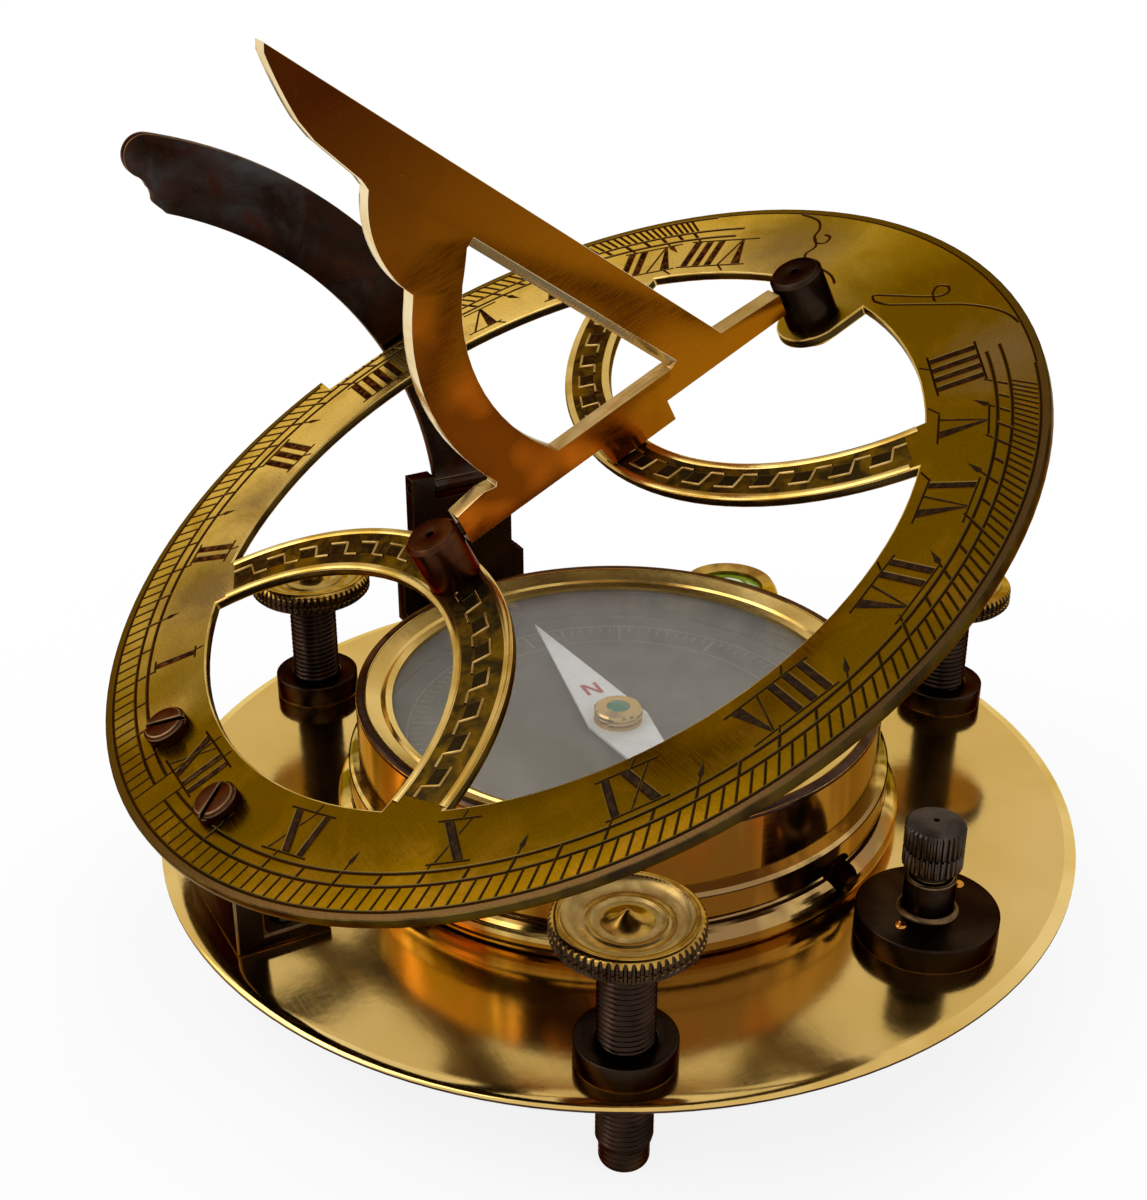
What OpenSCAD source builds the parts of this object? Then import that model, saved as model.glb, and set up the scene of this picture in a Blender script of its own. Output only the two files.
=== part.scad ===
// Tilting horizontal sundial on a compass: a pierced hour ring with a folding gnomon,
// hinged over a round compass case on a plate with three levelling screws.
// North is +Y. The origin is the centre of the three feet, on the ground.

/* [Base plate] */
// Diameter of the base plate
plate_d = 127; // [124:0.5:140]
// Thickness of the base plate, rolled over all round its edge
plate_t = 1.2; // [1:0.1:2.4]
// Height of the plate's top face above the ground
plate_top = 15.5; // [14:0.1:24]

/* [Levelling screws] */
// Diameter of the circle through the three screws
screw_circle_d = 111.6; // [108:0.2:114]
// Distance from the plate's centre north to the centre of the screw circle
screw_shift = 1.6; // [0:0.1:2.5]
// Direction of the first screw, anticlockwise from east
screw_azimuth = -30; // [-40:1:-20]
// Diameter of a screw's shank
rod_d = 7; // [5:0.1:8]
// Diameter of the plain point at a screw's foot
tip_d = 6.2; // [4.6:0.1:6.4]
// Length of the plain point
tip_l = 3.4; // [2:0.1:5]
// Height of the head's underside above the plate
head_lift = 17.2; // [16:0.1:17.4]
// Diameter of a screw's head over its teeth
head_d = 17.8; // [16:0.1:20]
// Thickness of a head's rim
head_t = 3.1; // [2.6:0.1:3.2]
// Number of teeth round a head
head_teeth = 60; // [36:1:72]
// Depth of the teeth of heads and knob
tooth_depth = 0.35; // [0.2:0.05:0.5]
// Diameter of the dish in the top of a head
dish_d = 15.2; // [13:0.1:15.4]
// Depth of the dish
dish_depth = 1; // [0.4:0.1:1.2]
// Diameter of the cone that stands in the dish
cone_d = 6.2; // [5:0.1:7]
// Height of the cone's point above the rim
cone_rise = 0.7; // [0.2:0.1:0.9]
// Diameter of the spigot that joins shank and head
rod_spigot_d = 4; // [3:0.1:4.6]
// Diameter of the boss that guides a screw
bush_d = 12.4; // [11:0.1:14]
// Height of the boss
bush_h = 3.2; // [2.4:0.1:5]
// Diameter of the boss's spigot in the plate
bush_spigot_d = 9.6; // [9.2:0.1:10.6]

/* [Compass case] */
// Outer diameter of the case wall
case_d = 72; // [68:0.5:74]
// Thickness of the case wall
case_wall_t = 3; // [2.4:0.1:4]
// Height of the case above the plate
case_h = 18.4; // [16.9:0.1:19.4]
// Height of the moulded foot of the case
foot_h = 9; // [7.8:0.1:9.4]
// Diameter of the half-round bead round the foot
bead_d = 78.4; // [76:0.1:79]
// Height of the bead
bead_h = 4.4; // [3:0.1:5]
// Diameter of the fillet band above the bead
band_d = 74.8; // [74:0.1:75.6]
// Width of the flat rim round the bezel
rim_w = 1.4; // [1:0.1:1.8]
// Diameter of the opening in the bezel
bezel_hole_d = 62.2; // [58:0.1:64]
// Thickness of the bezel at its inner edge
bezel_lip_t = 0.5; // [0.3:0.1:1]
// Thickness of the glass
glass_t = 1.2; // [0.8:0.1:1.6]
// Distance from the rim down to the top of the glass
glass_drop = 1.8; // [1.4:0.1:2.4]
// Diameter of the locking screw and its hole in the side of the foot
lock_d = 5.2; // [4:0.1:5.4]
// Direction of the locking screw, anticlockwise from east
lock_azimuth = 20; // [0:1:40]
// Height of the locking screw's axis above the plate
lock_z = 4.3; // [3:0.1:5]

/* [Compass needle] */
// Height of the compass card's face above the plate
card_level = 11.2; // [10.6:0.1:11.4]
// Thickness of the card
card_t = 0.8; // [0.5:0.1:1.2]
// Length of the needle
needle_l = 61; // [50:0.5:63]
// Width of the needle at its middle
needle_w = 9; // [6:0.1:10]
// Thickness of the needle
needle_t = 0.4; // [0.3:0.05:0.6]
// Distance from the card up to the needle
needle_lift = 0.7; // [0.5:0.1:0.9]
// Direction of the needle's point, anticlockwise from east
needle_azimuth = 175; // [0:1:359]
// Diameter of the cap on the needle
cap_d = 6.8; // [5:0.1:8]
// Height of the cap above the needle
cap_h = 2.1; // [1.8:0.1:2.2]
// Diameter of the jewel in the cap
jewel_d = 3.2; // [2.6:0.1:3.6]
// Diameter of the pivot under the cap
pivot_d = 1.2; // [0.8:0.1:1.5]

/* [Spirit level] */
// Distance from the plate's centre east to the level, negative for west
level_x = -33.1; // [-36:0.1:-31]
// Distance from the plate's centre north to the level
level_y = 39.5; // [38:0.1:42]
// Diameter of the level's case
level_d = 16.1; // [14:0.1:18]
// Height of the level's case
level_h = 9.4; // [7:0.1:11.4]
// Diameter of the level's window
lens_d = 11; // [9:0.1:12]
// Height of the floor under the level's liquid
level_floor = 2; // [1:0.1:4]

/* [Needle lock] */
// Distance from the plate's centre east to the needle lock
lock_post_x = 45.7; // [44.5:0.1:47]
// Distance from the plate's centre north to the needle lock
lock_post_y = 19.1; // [17:0.1:21]
// Diameter of the lock's foot
lock_foot_d = 18.2; // [16:0.1:19]
// Height of the lock's foot
lock_foot_h = 3.4; // [2:0.1:4.5]
// Diameter of the lock's stem
stem_d = 6.5; // [5:0.1:8]
// Height of the stem's shoulder above the plate
stem_top = 8.7; // [7:0.1:9.2]
// Diameter of the neck under the knob
neck_d = 4.8; // [3.6:0.1:5.6]
// Height of the neck
neck_h = 1.15; // [0.6:0.05:2]
// Diameter of the knob over its teeth
knob_d = 7.6; // [6.6:0.1:9]
// Height of the knob
knob_h = 6.6; // [5:0.1:8]
// Number of teeth round the knob
knob_teeth = 30; // [18:1:40]
// Diameter of the spindle that the knob turns on
spindle_d = 2.4; // [1.6:0.1:3]

/* [Dial hinge] */
// Distance from the plate's centre south to the hinge line
hinge_reach = 57.7; // [56:0.1:59]
// Height of the hinge line above the plate
hinge_z = 17.8; // [17.8:0.1:19.4]
// Diameter of the hinge pin
hinge_pin_d = 2.4; // [1.6:0.1:2.6]
// Width of the hinge block
block_w = 19.6; // [17:0.1:22]
// Thickness of the block's upright
block_t = 3.8; // [3.6:0.1:4.4]
// Length of the block's flange on the plate
block_flange_l = 12.4; // [8:0.1:14]
// Thickness of the flanges on the plate
flange_t = 2; // [1.4:0.1:3]
// Height of the block's shoulders above the plate
shoulder_z = 12; // [9:0.1:12.2]
// Width of the block's tongue between the knuckles
tongue_w = 12; // [9:0.1:13]
// Width of a knuckle
knuckle_w = 6.9; // [5.8:0.1:8]
// Diameter of a knuckle's round end
knuckle_d = 6.4; // [5:0.1:6.6]
// Diameter of a hinge screw's head
hinge_screw_d = 5.8; // [4.4:0.1:6.4]
// Height of a hinge screw's head
hinge_screw_h = 1.7; // [1:0.1:2.4]
// Diameter of a hinge screw's shank
hinge_shank_d = 2.6; // [2:0.1:3]
// Width of the screwdriver slots
slot_w = 0.7; // [0.4:0.1:1]

/* [Dial ring] */
// Angle of the dial above level
dial_tilt = 26.14; // [10:0.01:45]
// Outer diameter of the dial ring
dial_d = 128.5; // [126:0.5:130]
// Inner diameter of the dial ring
dial_hole_d = 98.7; // [94:0.1:102]
// Thickness of the dial
dial_t = 1.4; // [1:0.1:1.6]
// Distance along the dial from the hinge line to the dial's centre
dial_reach = 54.7; // [54:0.1:56]
// Height of the dial's face above the hinge line
dial_rise = 5.3; // [5.2:0.1:6]
// Distance from the dial's centre south to the centre of the south arch
arch_s_centre = 49; // [47:0.5:51]
// Inner radius of the south arch
arch_s_inner = 30; // [26:0.5:31]
// Outer radius of the south arch
arch_s_outer = 37.8; // [37.2:0.1:39]
// Distance from the dial's centre north to the centre of the north arch's inner edge
arch_n_inner_centre = 49.5; // [48:0.5:51]
// Radius of the north arch's inner edge
arch_n_inner = 33.6; // [30:0.1:34]
// Distance from the dial's centre north to the centre of the north arch's outer edge
arch_n_outer_centre = 52.2; // [50:0.1:53]
// Radius of the north arch's outer edge
arch_n_outer = 42.3; // [41:0.1:44]
// Radius of the lug under the north post
lug_r = 5; // [4.4:0.1:6]

/* [Gnomon] */
// Diameter of the gnomon's two posts
post_d = 7; // [6:0.1:7.4]
// Height of the posts above the dial
post_h = 7.4; // [7:0.1:9]
// Distance from the dial's centre south to the south post
post_s = 14.7; // [14.4:0.1:15.4]
// Distance from the dial's centre north to the north post
post_n = 44.2; // [43:0.1:45]
// Diameter of the spigots that fix the posts in the dial
post_spigot_d = 3; // [2:0.1:3.6]
// Diameter of the nut under the north post
nut_d = 5.8; // [4.6:0.1:7]
// Thickness of the nut
nut_t = 1.5; // [1:0.1:2]
// Height of the gnomon's pivot line above the dial
gnomon_pivot_h = 5.3; // [5.3:0.1:6]
// Diameter of the gnomon's pivot pins
gnomon_pin_d = 1.8; // [1.2:0.1:2]
// Length of a pivot pin in the bar, and in the post
pin_depth = 2.8; // [2:0.1:3.2]
// Thickness of the gnomon
gnomon_t = 2.6; // [2.4:0.1:3]
// Height of the bar at the foot of the gnomon
bar_h = 3.6; // [3.4:0.1:4.6]
// Angle between the shadow edge and the dial
style_angle = 61.5; // [60.5:0.1:62.5]
// Distance from the dial's centre north to the foot of the shadow edge
style_foot = 31; // [30:0.1:32]
// Height of the gnomon's point above the dial
gnomon_h = 70.1; // [68:0.1:74]
// Width of the rib between the shadow edge and the window
rib_w = 7.1; // [5:0.1:8]
// Distance that the tab stands above the dial
tab_lift = 0.45; // [0.35:0.05:0.8]
// Distance from the dial's centre north to the tab's south side
tab_from = 10.3; // [9:0.1:12]
// Length of the tab
tab_l = 10.2; // [6:0.1:12]
// Height of the step between the two lobes above the dial
lobe_step_h = 36.3; // [34:0.1:38]
// Height of the step between the upper lobe and the spike
spike_step_h = 50.7; // [49:0.1:52]

/* [Latitude arc] */
// Outer radius of the latitude arc round the hinge line
arc_outer_r = 69.4; // [67.5:0.1:69.6]
// Width of the latitude arc
arc_w = 10.5; // [9:0.1:10.8]
// Thickness of the latitude arc
arc_t = 1.6; // [1.2:0.1:2]
// Distance from the plate's centre west to the middle of the arc
arc_reach = 62.4; // [62:0.1:63]
// Angle of the arc's upper end round the hinge line
arc_end = 73; // [68:0.5:75.5]
// Radius of the rounded tip of the arc
arc_tip_r = 3.1; // [2.8:0.1:3.6]
// Height of the arc's pivot above the plate
arc_pivot_z = 23.4; // [23:0.1:24.4]
// Diameter of the arc's pivot pin
arc_pin_d = 1.5; // [1:0.1:1.7]
// Thickness of the bracket's upright, and of the arc's knuckle
bracket_t = 2.8; // [2.6:0.1:3]
// Width of the bracket's south ear
ear_south_w = 3.9; // [3:0.1:5.2]
// Width of the bracket's north ear
ear_north_w = 2.2; // [1.8:0.1:3]
// Height of the ears above the pivot
ear_rise = 2; // [1.4:0.1:2.6]
// Distance that the bracket's lower block stands out past the ears
block_step = 2.2; // [1:0.1:3]
// Height of the bracket's lower block above the plate
bracket_block_h = 10.4; // [8:0.1:13.4]
// Length of the bracket's flange on the plate
bracket_flange_l = 8; // [5:0.1:10]

/* [Fits] */
// Radial gap between a turning or sliding pin and its bore
running_fit = 0.06; // [0.03:0.01:0.1]
// Radial gap of a fixed spigot in its bore
fixed_fit = 0.03; // [0.01:0.01:0.05]
// Gap between faces that move past each other
face_gap = 0.3; // [0.15:0.05:0.4]
// Gap between the dial's notch and the bracket beside it
notch_gap = 0.4; // [0.3:0.1:0.8]
// Gap between the north end of the notch and the ears
notch_north_gap = 1.6; // [1.2:0.1:2.4]
// Gap between the south end of the notch and the ears
notch_south_gap = 5.9; // [2:0.1:7]

/* [Hidden] */
$fn = 96;
brass = "#c9a24a";
pale_brass = "#d8b865";
dark_bronze = "#2f2823";
copper = "#7c4a2c";
white = "#e8e6df";
green = "#6fbf7a";

screws = [0:2];
sides = [-1, 1];
plate_bottom = plate_top - plate_t;
case_r = case_d / 2;
case_inner_r = case_r - case_wall_t;
bezel_r = case_r - rim_w;
glass_top = case_h - glass_drop;
glass_seat = glass_top - glass_t;
glass_r = bezel_r - 0.2;
card_r = case_inner_r - 0.1;
card_bottom = card_level - card_t;
needle_z = card_level + needle_lift;
cap_base = needle_z + needle_t;
cap_top = cap_base + cap_h;
cap_spigot_d = pivot_d + 2;
cap_bore_r = pivot_d / 2 + 0.2;
jewel_seat = cap_top - 0.4;
jewel_rise = 0.5;
pivot_top = jewel_seat - 0.25;
head_top = head_lift + head_t;
rod_spigot_h = head_t - dish_depth;
stem_z = lock_foot_h;
knob_z = stem_top + neck_h + face_gap / 2;
spindle_top = knob_z + knob_h - 1.6;
knuckle_mid = tongue_w / 2 + face_gap + knuckle_w / 2;
hinge_screw_hole = dial_rise - dial_t - hinge_pin_d / 2 - 0.8;
bar_bottom = gnomon_pivot_h - bar_h / 2;
bar_top = gnomon_pivot_h + bar_h / 2;
bar_from = -post_s + post_d / 2 + face_gap;
bar_to = post_n - post_d / 2 - face_gap;
gnomon_unit = gnomon_h / 100;
lobe_h = lobe_step_h - bar_top;
collar_h = spike_step_h - lobe_step_h;
spike_h = gnomon_h - spike_step_h;
window_sill = bar_top + 0.1 * gnomon_unit;
window_head = lobe_step_h + 1.57 * gnomon_unit;
arc_x = -arc_reach;
arc_inner_r = arc_outer_r - arc_w;
pivot_over_hinge = arc_pivot_z - hinge_z;
root_from = sqrt(pow(arc_inner_r, 2) - pow(pivot_over_hinge + ear_rise, 2)) - hinge_reach - 0.1;
root_to = sqrt(pow(arc_outer_r, 2) - pow(pivot_over_hinge, 2)) - hinge_reach + 0.1;
ear_from = root_from - face_gap - ear_south_w;
ear_to = root_to + face_gap + ear_north_w;
bracket_inner_x = arc_x + bracket_t / 2;
notch_x = bracket_inner_x + notch_gap;
flat_centre_y = dial_reach - hinge_reach;
notch_from = ear_from - notch_south_gap - flat_centre_y;
notch_to = ear_to + notch_north_gap - flat_centre_y;

// A point at radius r and angle a round a centre c
function polar(r, a, c = [0, 0]) = c + r * [cos(a), sin(a)];

// The centre of the circle through three points
function circle_centre(p, q, s) =
    let (
        a = q - p,
        b = s - p,
        d = 2 * (a[0] * b[1] - a[1] * b[0]),
        aa = a * a,
        bb = b * b
    )
    p + [b[1] * aa - a[1] * bb, a[0] * bb - b[0] * aa] / d;

// Points from p through q to s along the circle through all three
function arc_through(p, q, s, steps = 14) =
    let (
        c = circle_centre(p, q, s),
        r = norm(p - c),
        turn = (q - p)[0] * (s - q)[1] - (q - p)[1] * (s - q)[0],
        a0 = atan2(p[1] - c[1], p[0] - c[0]),
        a1 = atan2(s[1] - c[1], s[0] - c[0]),
        sweep = turn > 0 ? (a1 < a0 ? a1 - a0 + 360 : a1 - a0) : (a1 > a0 ? a1 - a0 - 360 : a1 - a0)
    )
    [for (i = [0 : steps]) polar(r, a0 + sweep * i / steps, c)];

// A wheel outline with blunt teeth, each as wide at its tip as the gap beside it
function toothed(r, teeth, depth) =
    [for (i = [0 : teeth - 1], k = [0 : 3])
        polar(k < 2 ? r : r - depth, 360 * (i + [0.1, 0.4, 0.6, 0.9][k]) / teeth)];

module on_plate() {
    translate([0, -screw_shift, plate_top]) children();
}

module at_screw(i) {
    rotate([0, 0, screw_azimuth + 120 * i]) translate([screw_circle_d / 2, 0, 0]) children();
}

module at_hinge() {
    on_plate() translate([0, -hinge_reach, hinge_z]) children();
}

// The dial's own axes: x along the hinge, y up the dial from its centre, z out of its face
module on_dial() {
    at_hinge() rotate([dial_tilt, 0, 0]) translate([0, dial_reach, dial_rise]) children();
}

// Extrudes an outline drawn in y and z, with its thickness across x
module across(thickness) {
    rotate([90, 0, 90]) linear_extrude(thickness, center = true) children();
}

module base_plate() {
    r = plate_d / 2;
    roll_w = 2.1;
    roll_drop = plate_t * 0.5;
    color(brass) difference() {
        on_plate() rotate_extrude() polygon(concat(
            [[0, -plate_t], [r - 0.3, -plate_t], [r, 0.3 - plate_t]],
            [for (a = [0:15:90]) [r - roll_w * (1 - cos(a)), roll_drop * (sin(a) - 1)]],
            [[0, 0]]
        ));
        for (i = screws)
            at_screw(i) translate([0, 0, plate_bottom - 1])
                cylinder(d = bush_spigot_d + 2 * fixed_fit, h = plate_t + 2);
    }
}

module levelling_bush(i) {
    round_r = 0.3;
    color(dark_bronze) at_screw(i) translate([0, 0, plate_top]) difference() {
        union() {
            rotate_extrude() polygon(concat(
                [[0, 0], [bush_d / 2, 0]],
                [for (a = [0:15:90]) polar(round_r, a, [bush_d / 2 - round_r, bush_h - round_r])],
                [[0, bush_h]]
            ));
            translate([0, 0, -plate_t]) cylinder(d = bush_spigot_d, h = plate_t + 0.5);
        }
        translate([0, 0, -plate_t - 1]) cylinder(d = rod_d + 2 * running_fit, h = plate_t + bush_h + 2);
    }
}

module levelling_rod(i) {
    tip_round = 0.06 * rod_d;
    shoulder = (rod_d - tip_d) / 2;
    shank_top = plate_top + head_lift;
    color(dark_bronze) at_screw(i) union() {
        rotate_extrude() polygon(concat(
            [[0, 0]],
            [for (a = [-90:15:0]) polar(tip_round, a, [tip_d / 2 - tip_round, tip_round])],
            [[tip_d / 2, tip_l], [rod_d / 2, tip_l + shoulder], [rod_d / 2, shank_top], [0, shank_top]]
        ));
        translate([0, 0, shank_top - 1]) cylinder(d = rod_spigot_d, h = rod_spigot_h / 2 + 1);
    }
}

// The head: toothed edge with a groove half way, round rim, dish with a ring, and a cone in the middle
module levelling_head(i) {
    chamfer = 0.5;
    r = head_d / 2;
    dish_r = dish_d / 2;
    cone_r = cone_d / 2;
    ring_r = cone_r + 1.4;
    groove = tooth_depth + 0.2;
    groove_z = head_t * 0.42;
    floor_z = head_t - dish_depth;
    color(copper) at_screw(i) translate([0, 0, plate_top + head_lift]) difference() {
        intersection() {
            linear_extrude(head_t + cone_rise + 1) polygon(toothed(r, head_teeth, tooth_depth));
            rotate_extrude() polygon(concat(
                [
                    [0, 0], [r - chamfer, 0], [r, chamfer], [r, groove_z - 0.2],
                    [r - groove, groove_z], [r, groove_z + 0.2]
                ],
                arc_through([r, head_t - 0.8], [r - 0.3, head_t - 0.25], [r - 1, head_t], 5),
                [[dish_r, head_t - 0.1]],
                arc_through(
                    [dish_r - 0.15, head_t - 0.3 * dish_depth],
                    [dish_r - 0.9, head_t - 0.8 * dish_depth],
                    [dish_r - 2, floor_z], 5
                ),
                [
                    [ring_r + 0.4, floor_z], [ring_r + 0.1, floor_z + 0.2],
                    [ring_r - 0.2, floor_z + 0.2], [ring_r - 0.6, floor_z - 0.05]
                ],
                arc_through(
                    [cone_r, floor_z],
                    [cone_r * 0.42, floor_z + 0.47 * (dish_depth + cone_rise)],
                    [0.2, head_t + cone_rise], 5
                ),
                [[0, head_t + cone_rise]]
            ));
        }
        translate([0, 0, -1]) cylinder(d = rod_spigot_d + 2 * fixed_fit, h = rod_spigot_h / 2 + 1.1);
    }
}

module at_lock_screw() {
    on_plate() rotate([0, 0, lock_azimuth]) translate([0, 0, lock_z]) rotate([0, 90, 0]) children();
}

module case_foot() {
    bead_r = bead_h / 2;
    cove_r = 0.7;
    chamfer = 0.5;
    color(brass) difference() {
        on_plate() rotate_extrude() polygon(concat(
            [[0, 0]],
            [for (a = [-90:15:90]) polar(bead_r, a, [bead_d / 2 - bead_r, bead_r])],
            [for (a = [180:-30:90]) polar(cove_r, a, [band_d / 2, bead_h + 0.3])],
            [
                [band_d / 2, foot_h - chamfer], [band_d / 2 - chamfer, foot_h],
                [case_inner_r - fixed_fit, foot_h], [case_inner_r - fixed_fit, card_bottom],
                [0, card_bottom]
            ]
        ));
        at_lock_screw() translate([0, 0, case_inner_r]) cylinder(d = lock_d, h = bead_h + bead_r);
        on_plate() translate([0, 0, card_bottom - 3]) cylinder(d = pivot_d + 2 * fixed_fit, h = 4);
    }
}

module case_lock_screw() {
    slot_depth = 0.8;
    recess = 2.6;
    length = band_d / 2 - recess - case_inner_r;
    color(pale_brass) at_lock_screw() translate([0, 0, case_inner_r + fixed_fit]) difference() {
        cylinder(d = lock_d - 2 * fixed_fit, h = length);
        translate([0, 0, length]) cube([slot_w, lock_d + 1, 2 * slot_depth], center = true);
    }
}

module case_wall() {
    chamfer = 0.3;
    color(brass) on_plate() rotate_extrude() polygon([
        [case_inner_r, foot_h], [case_r, foot_h], [case_r, case_h - chamfer],
        [case_r - chamfer, case_h], [bezel_r + fixed_fit, case_h],
        [bezel_r + fixed_fit, glass_seat], [case_inner_r, glass_seat]
    ]);
}

module case_bezel() {
    groove_w = 0.35;
    lip_r = bezel_hole_d / 2;
    groove_r = lip_r + 1.2;
    lip_z = glass_top + bezel_lip_t;
    groove_z = lip_z + 0.4;
    color(pale_brass) on_plate() rotate_extrude() polygon([
        [lip_r, glass_top], [bezel_r, glass_top], [bezel_r, case_h - 0.1],
        [groove_r + groove_w, groove_z + 0.05], [groove_r, groove_z - groove_w],
        [groove_r - groove_w, groove_z - 0.05], [lip_r, lip_z]
    ]);
}

module case_glass() {
    color(white, 0.3) on_plate() translate([0, 0, glass_seat]) cylinder(r = glass_r, h = glass_t);
}

module compass_card() {
    color(pale_brass) on_plate() translate([0, 0, card_bottom]) difference() {
        cylinder(r = card_r, h = card_t);
        translate([0, 0, -1]) cylinder(d = pivot_d + 2 * fixed_fit, h = card_t + 2);
    }
}

module needle_pivot() {
    cone_h = 0.8;
    foot_z = card_bottom - 2.8;
    color(pale_brass) on_plate() translate([0, 0, foot_z]) rotate_extrude() polygon([
        [0, 0], [pivot_d / 2, 0], [pivot_d / 2, pivot_top - cone_h - foot_z],
        [0.1, pivot_top - foot_z], [0, pivot_top - foot_z]
    ]);
}

module needle_blade() {
    tail_l = needle_l * 0.5;
    color(white) on_plate() rotate([0, 0, needle_azimuth]) translate([0, 0, needle_z]) difference() {
        linear_extrude(needle_t) polygon([
            [needle_l - tail_l, 0], [0, needle_w / 2], [-tail_l, 0], [0, -needle_w / 2]
        ]);
        translate([0, 0, -1]) cylinder(d = cap_spigot_d + 2 * fixed_fit, h = needle_t + 2);
    }
}

module needle_cap() {
    r = cap_d / 2;
    groove = 0.3;
    color(pale_brass) on_plate() rotate_extrude() polygon([
        [cap_bore_r, needle_z], [cap_spigot_d / 2, needle_z], [cap_spigot_d / 2, cap_base],
        [r, cap_base], [r, cap_base + 0.45], [r - groove, cap_base + 0.55],
        [r - groove, cap_base + 0.75], [r, cap_base + 0.85], [r, cap_base + 1.2],
        [r - groove / 2, cap_base + 1.3], [r, cap_base + 1.4], [r, cap_top - 0.35],
        [r - 0.3, cap_top - 0.12],
        [jewel_d / 2 + fixed_fit, cap_top], [jewel_d / 2 + fixed_fit, jewel_seat],
        [cap_bore_r, jewel_seat]
    ]);
}

module needle_jewel() {
    r = jewel_d / 2;
    color(green) on_plate() rotate_extrude() polygon(concat(
        [[0, jewel_seat], [r, jewel_seat]],
        arc_through([r, cap_top], [r * 0.7, cap_top + jewel_rise * 0.6], [0, cap_top + jewel_rise], 8)
    ));
}

module level_case() {
    r = level_d / 2;
    bore_r = lens_d / 2 + fixed_fit;
    lip = 0.7;
    crown = level_h - 1.8;
    color(brass) on_plate() translate([level_x, level_y, 0]) rotate_extrude() polygon(concat(
        [[0, 0], [r, 0]],
        arc_through([r, crown], [r - 0.6, level_h - 0.5], [(r + bore_r) / 2 + 0.3, level_h], 8),
        [[bore_r, level_h - lip], [bore_r, level_floor], [0, level_floor]]
    ));
}

module level_lens() {
    r = lens_d / 2;
    side_top = level_h - 1.3;
    rise = 0.7;
    color(green) on_plate() translate([level_x, level_y, 0]) rotate_extrude() polygon(concat(
        [[0, level_floor], [r, level_floor]],
        arc_through([r, side_top], [r * 0.7, side_top + rise * 0.55], [0, side_top + rise], 8)
    ));
}

module at_lock_post() {
    on_plate() translate([lock_post_x, lock_post_y, 0]) children();
}

module lock_foot() {
    edge = 0.3;
    r = lock_foot_d / 2;
    color(dark_bronze) at_lock_post() rotate_extrude() polygon(concat(
        [[0, 0], [r, 0]],
        [for (a = [0:15:90]) polar(edge, a, [r - edge, lock_foot_h - edge])],
        [[0, lock_foot_h]]
    ));
}

module lock_stem() {
    fillet = 0.7;
    r = stem_d / 2;
    color(dark_bronze) at_lock_post() rotate_extrude() polygon(concat(
        [[0, stem_z]],
        [for (a = [270:-15:180]) polar(fillet, a, [r + fillet, stem_z + fillet])],
        [
            [r, stem_top - 0.3], [r - 0.3, stem_top], [neck_d / 2, stem_top],
            [neck_d / 2, stem_top + neck_h], [spindle_d / 2, stem_top + neck_h],
            [spindle_d / 2, spindle_top], [0, spindle_top]
        ]
    ));
}

module lock_knob() {
    r = knob_d / 2;
    chamfer = 0.3;
    groove = tooth_depth + 0.15;
    groove_z = knob_h * 0.42;
    dot_r = 0.4;
    color(dark_bronze) at_lock_post() translate([0, 0, knob_z]) difference() {
        intersection() {
            linear_extrude(knob_h) polygon(toothed(r, knob_teeth, tooth_depth));
            rotate_extrude() polygon([
                [0, 0], [r - chamfer, 0], [r, chamfer], [r, groove_z - 0.2],
                [r - groove, groove_z - 0.06], [r - groove, groove_z + 0.06], [r, groove_z + 0.2],
                [r, knob_h - 0.7], [r - chamfer, knob_h - 0.4], [r * 0.55, knob_h - 0.1], [0, knob_h]
            ]);
        }
        translate([0, 0, -1]) cylinder(d = spindle_d + 2 * running_fit, h = spindle_top - knob_z + 1.3);
        translate([0, 0, knob_h - 0.7]) cylinder(r = dot_r, h = 2);
    }
}

module hinge_block() {
    color(dark_bronze) at_hinge() difference() {
        union() {
            translate([-block_w / 2, -block_t / 2, -hinge_z]) cube([block_w, block_t, shoulder_z]);
            translate([-block_w / 2, -block_t / 2, -hinge_z]) cube([block_w, block_flange_l, flange_t]);
            translate([-tongue_w / 2, -block_t / 2, -hinge_z]) cube([tongue_w, block_t, hinge_z]);
            rotate([0, 90, 0]) cylinder(d = block_t, h = tongue_w, center = true);
        }
        rotate([0, 90, 0]) cylinder(d = hinge_pin_d + 2 * fixed_fit, h = block_w, center = true);
    }
}

module hinge_pin() {
    length = 2 * knuckle_mid + knuckle_w - 0.4;
    color(dark_bronze) at_hinge() rotate([0, 90, 0]) cylinder(d = hinge_pin_d, h = length, center = true);
}

module hinge_knuckle(side) {
    top = dial_rise - dial_t;
    color(dark_bronze) at_hinge() rotate([dial_tilt, 0, 0]) translate([side * knuckle_mid, 0, 0]) difference() {
        union() {
            rotate([0, 90, 0]) cylinder(d = knuckle_d, h = knuckle_w, center = true);
            translate([-knuckle_w / 2, -knuckle_d / 2, 0]) cube([knuckle_w, knuckle_d, top]);
        }
        rotate([0, 90, 0]) cylinder(d = hinge_pin_d + 2 * running_fit, h = knuckle_w + 1, center = true);
        translate([0, 0, top - hinge_screw_hole]) cylinder(d = hinge_shank_d + 2 * fixed_fit, h = top);
    }
}

module hinge_screw(side) {
    slot_depth = 0.8;
    chamfer = 0.4;
    r = hinge_screw_d / 2;
    shank = dial_t + hinge_screw_hole - 0.1;
    color(copper) on_dial() translate([side * knuckle_mid, -dial_reach, 0]) difference() {
        rotate_extrude() polygon([
            [0, -shank], [hinge_shank_d / 2, -shank], [hinge_shank_d / 2, 0], [r, 0],
            [r, hinge_screw_h - chamfer], [r - chamfer, hinge_screw_h], [0, hinge_screw_h]
        ]);
        translate([0, 0, hinge_screw_h]) rotate([0, 0, 35 * side])
            cube([slot_w, hinge_screw_d + 1, 2 * slot_depth], center = true);
    }
}

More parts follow.
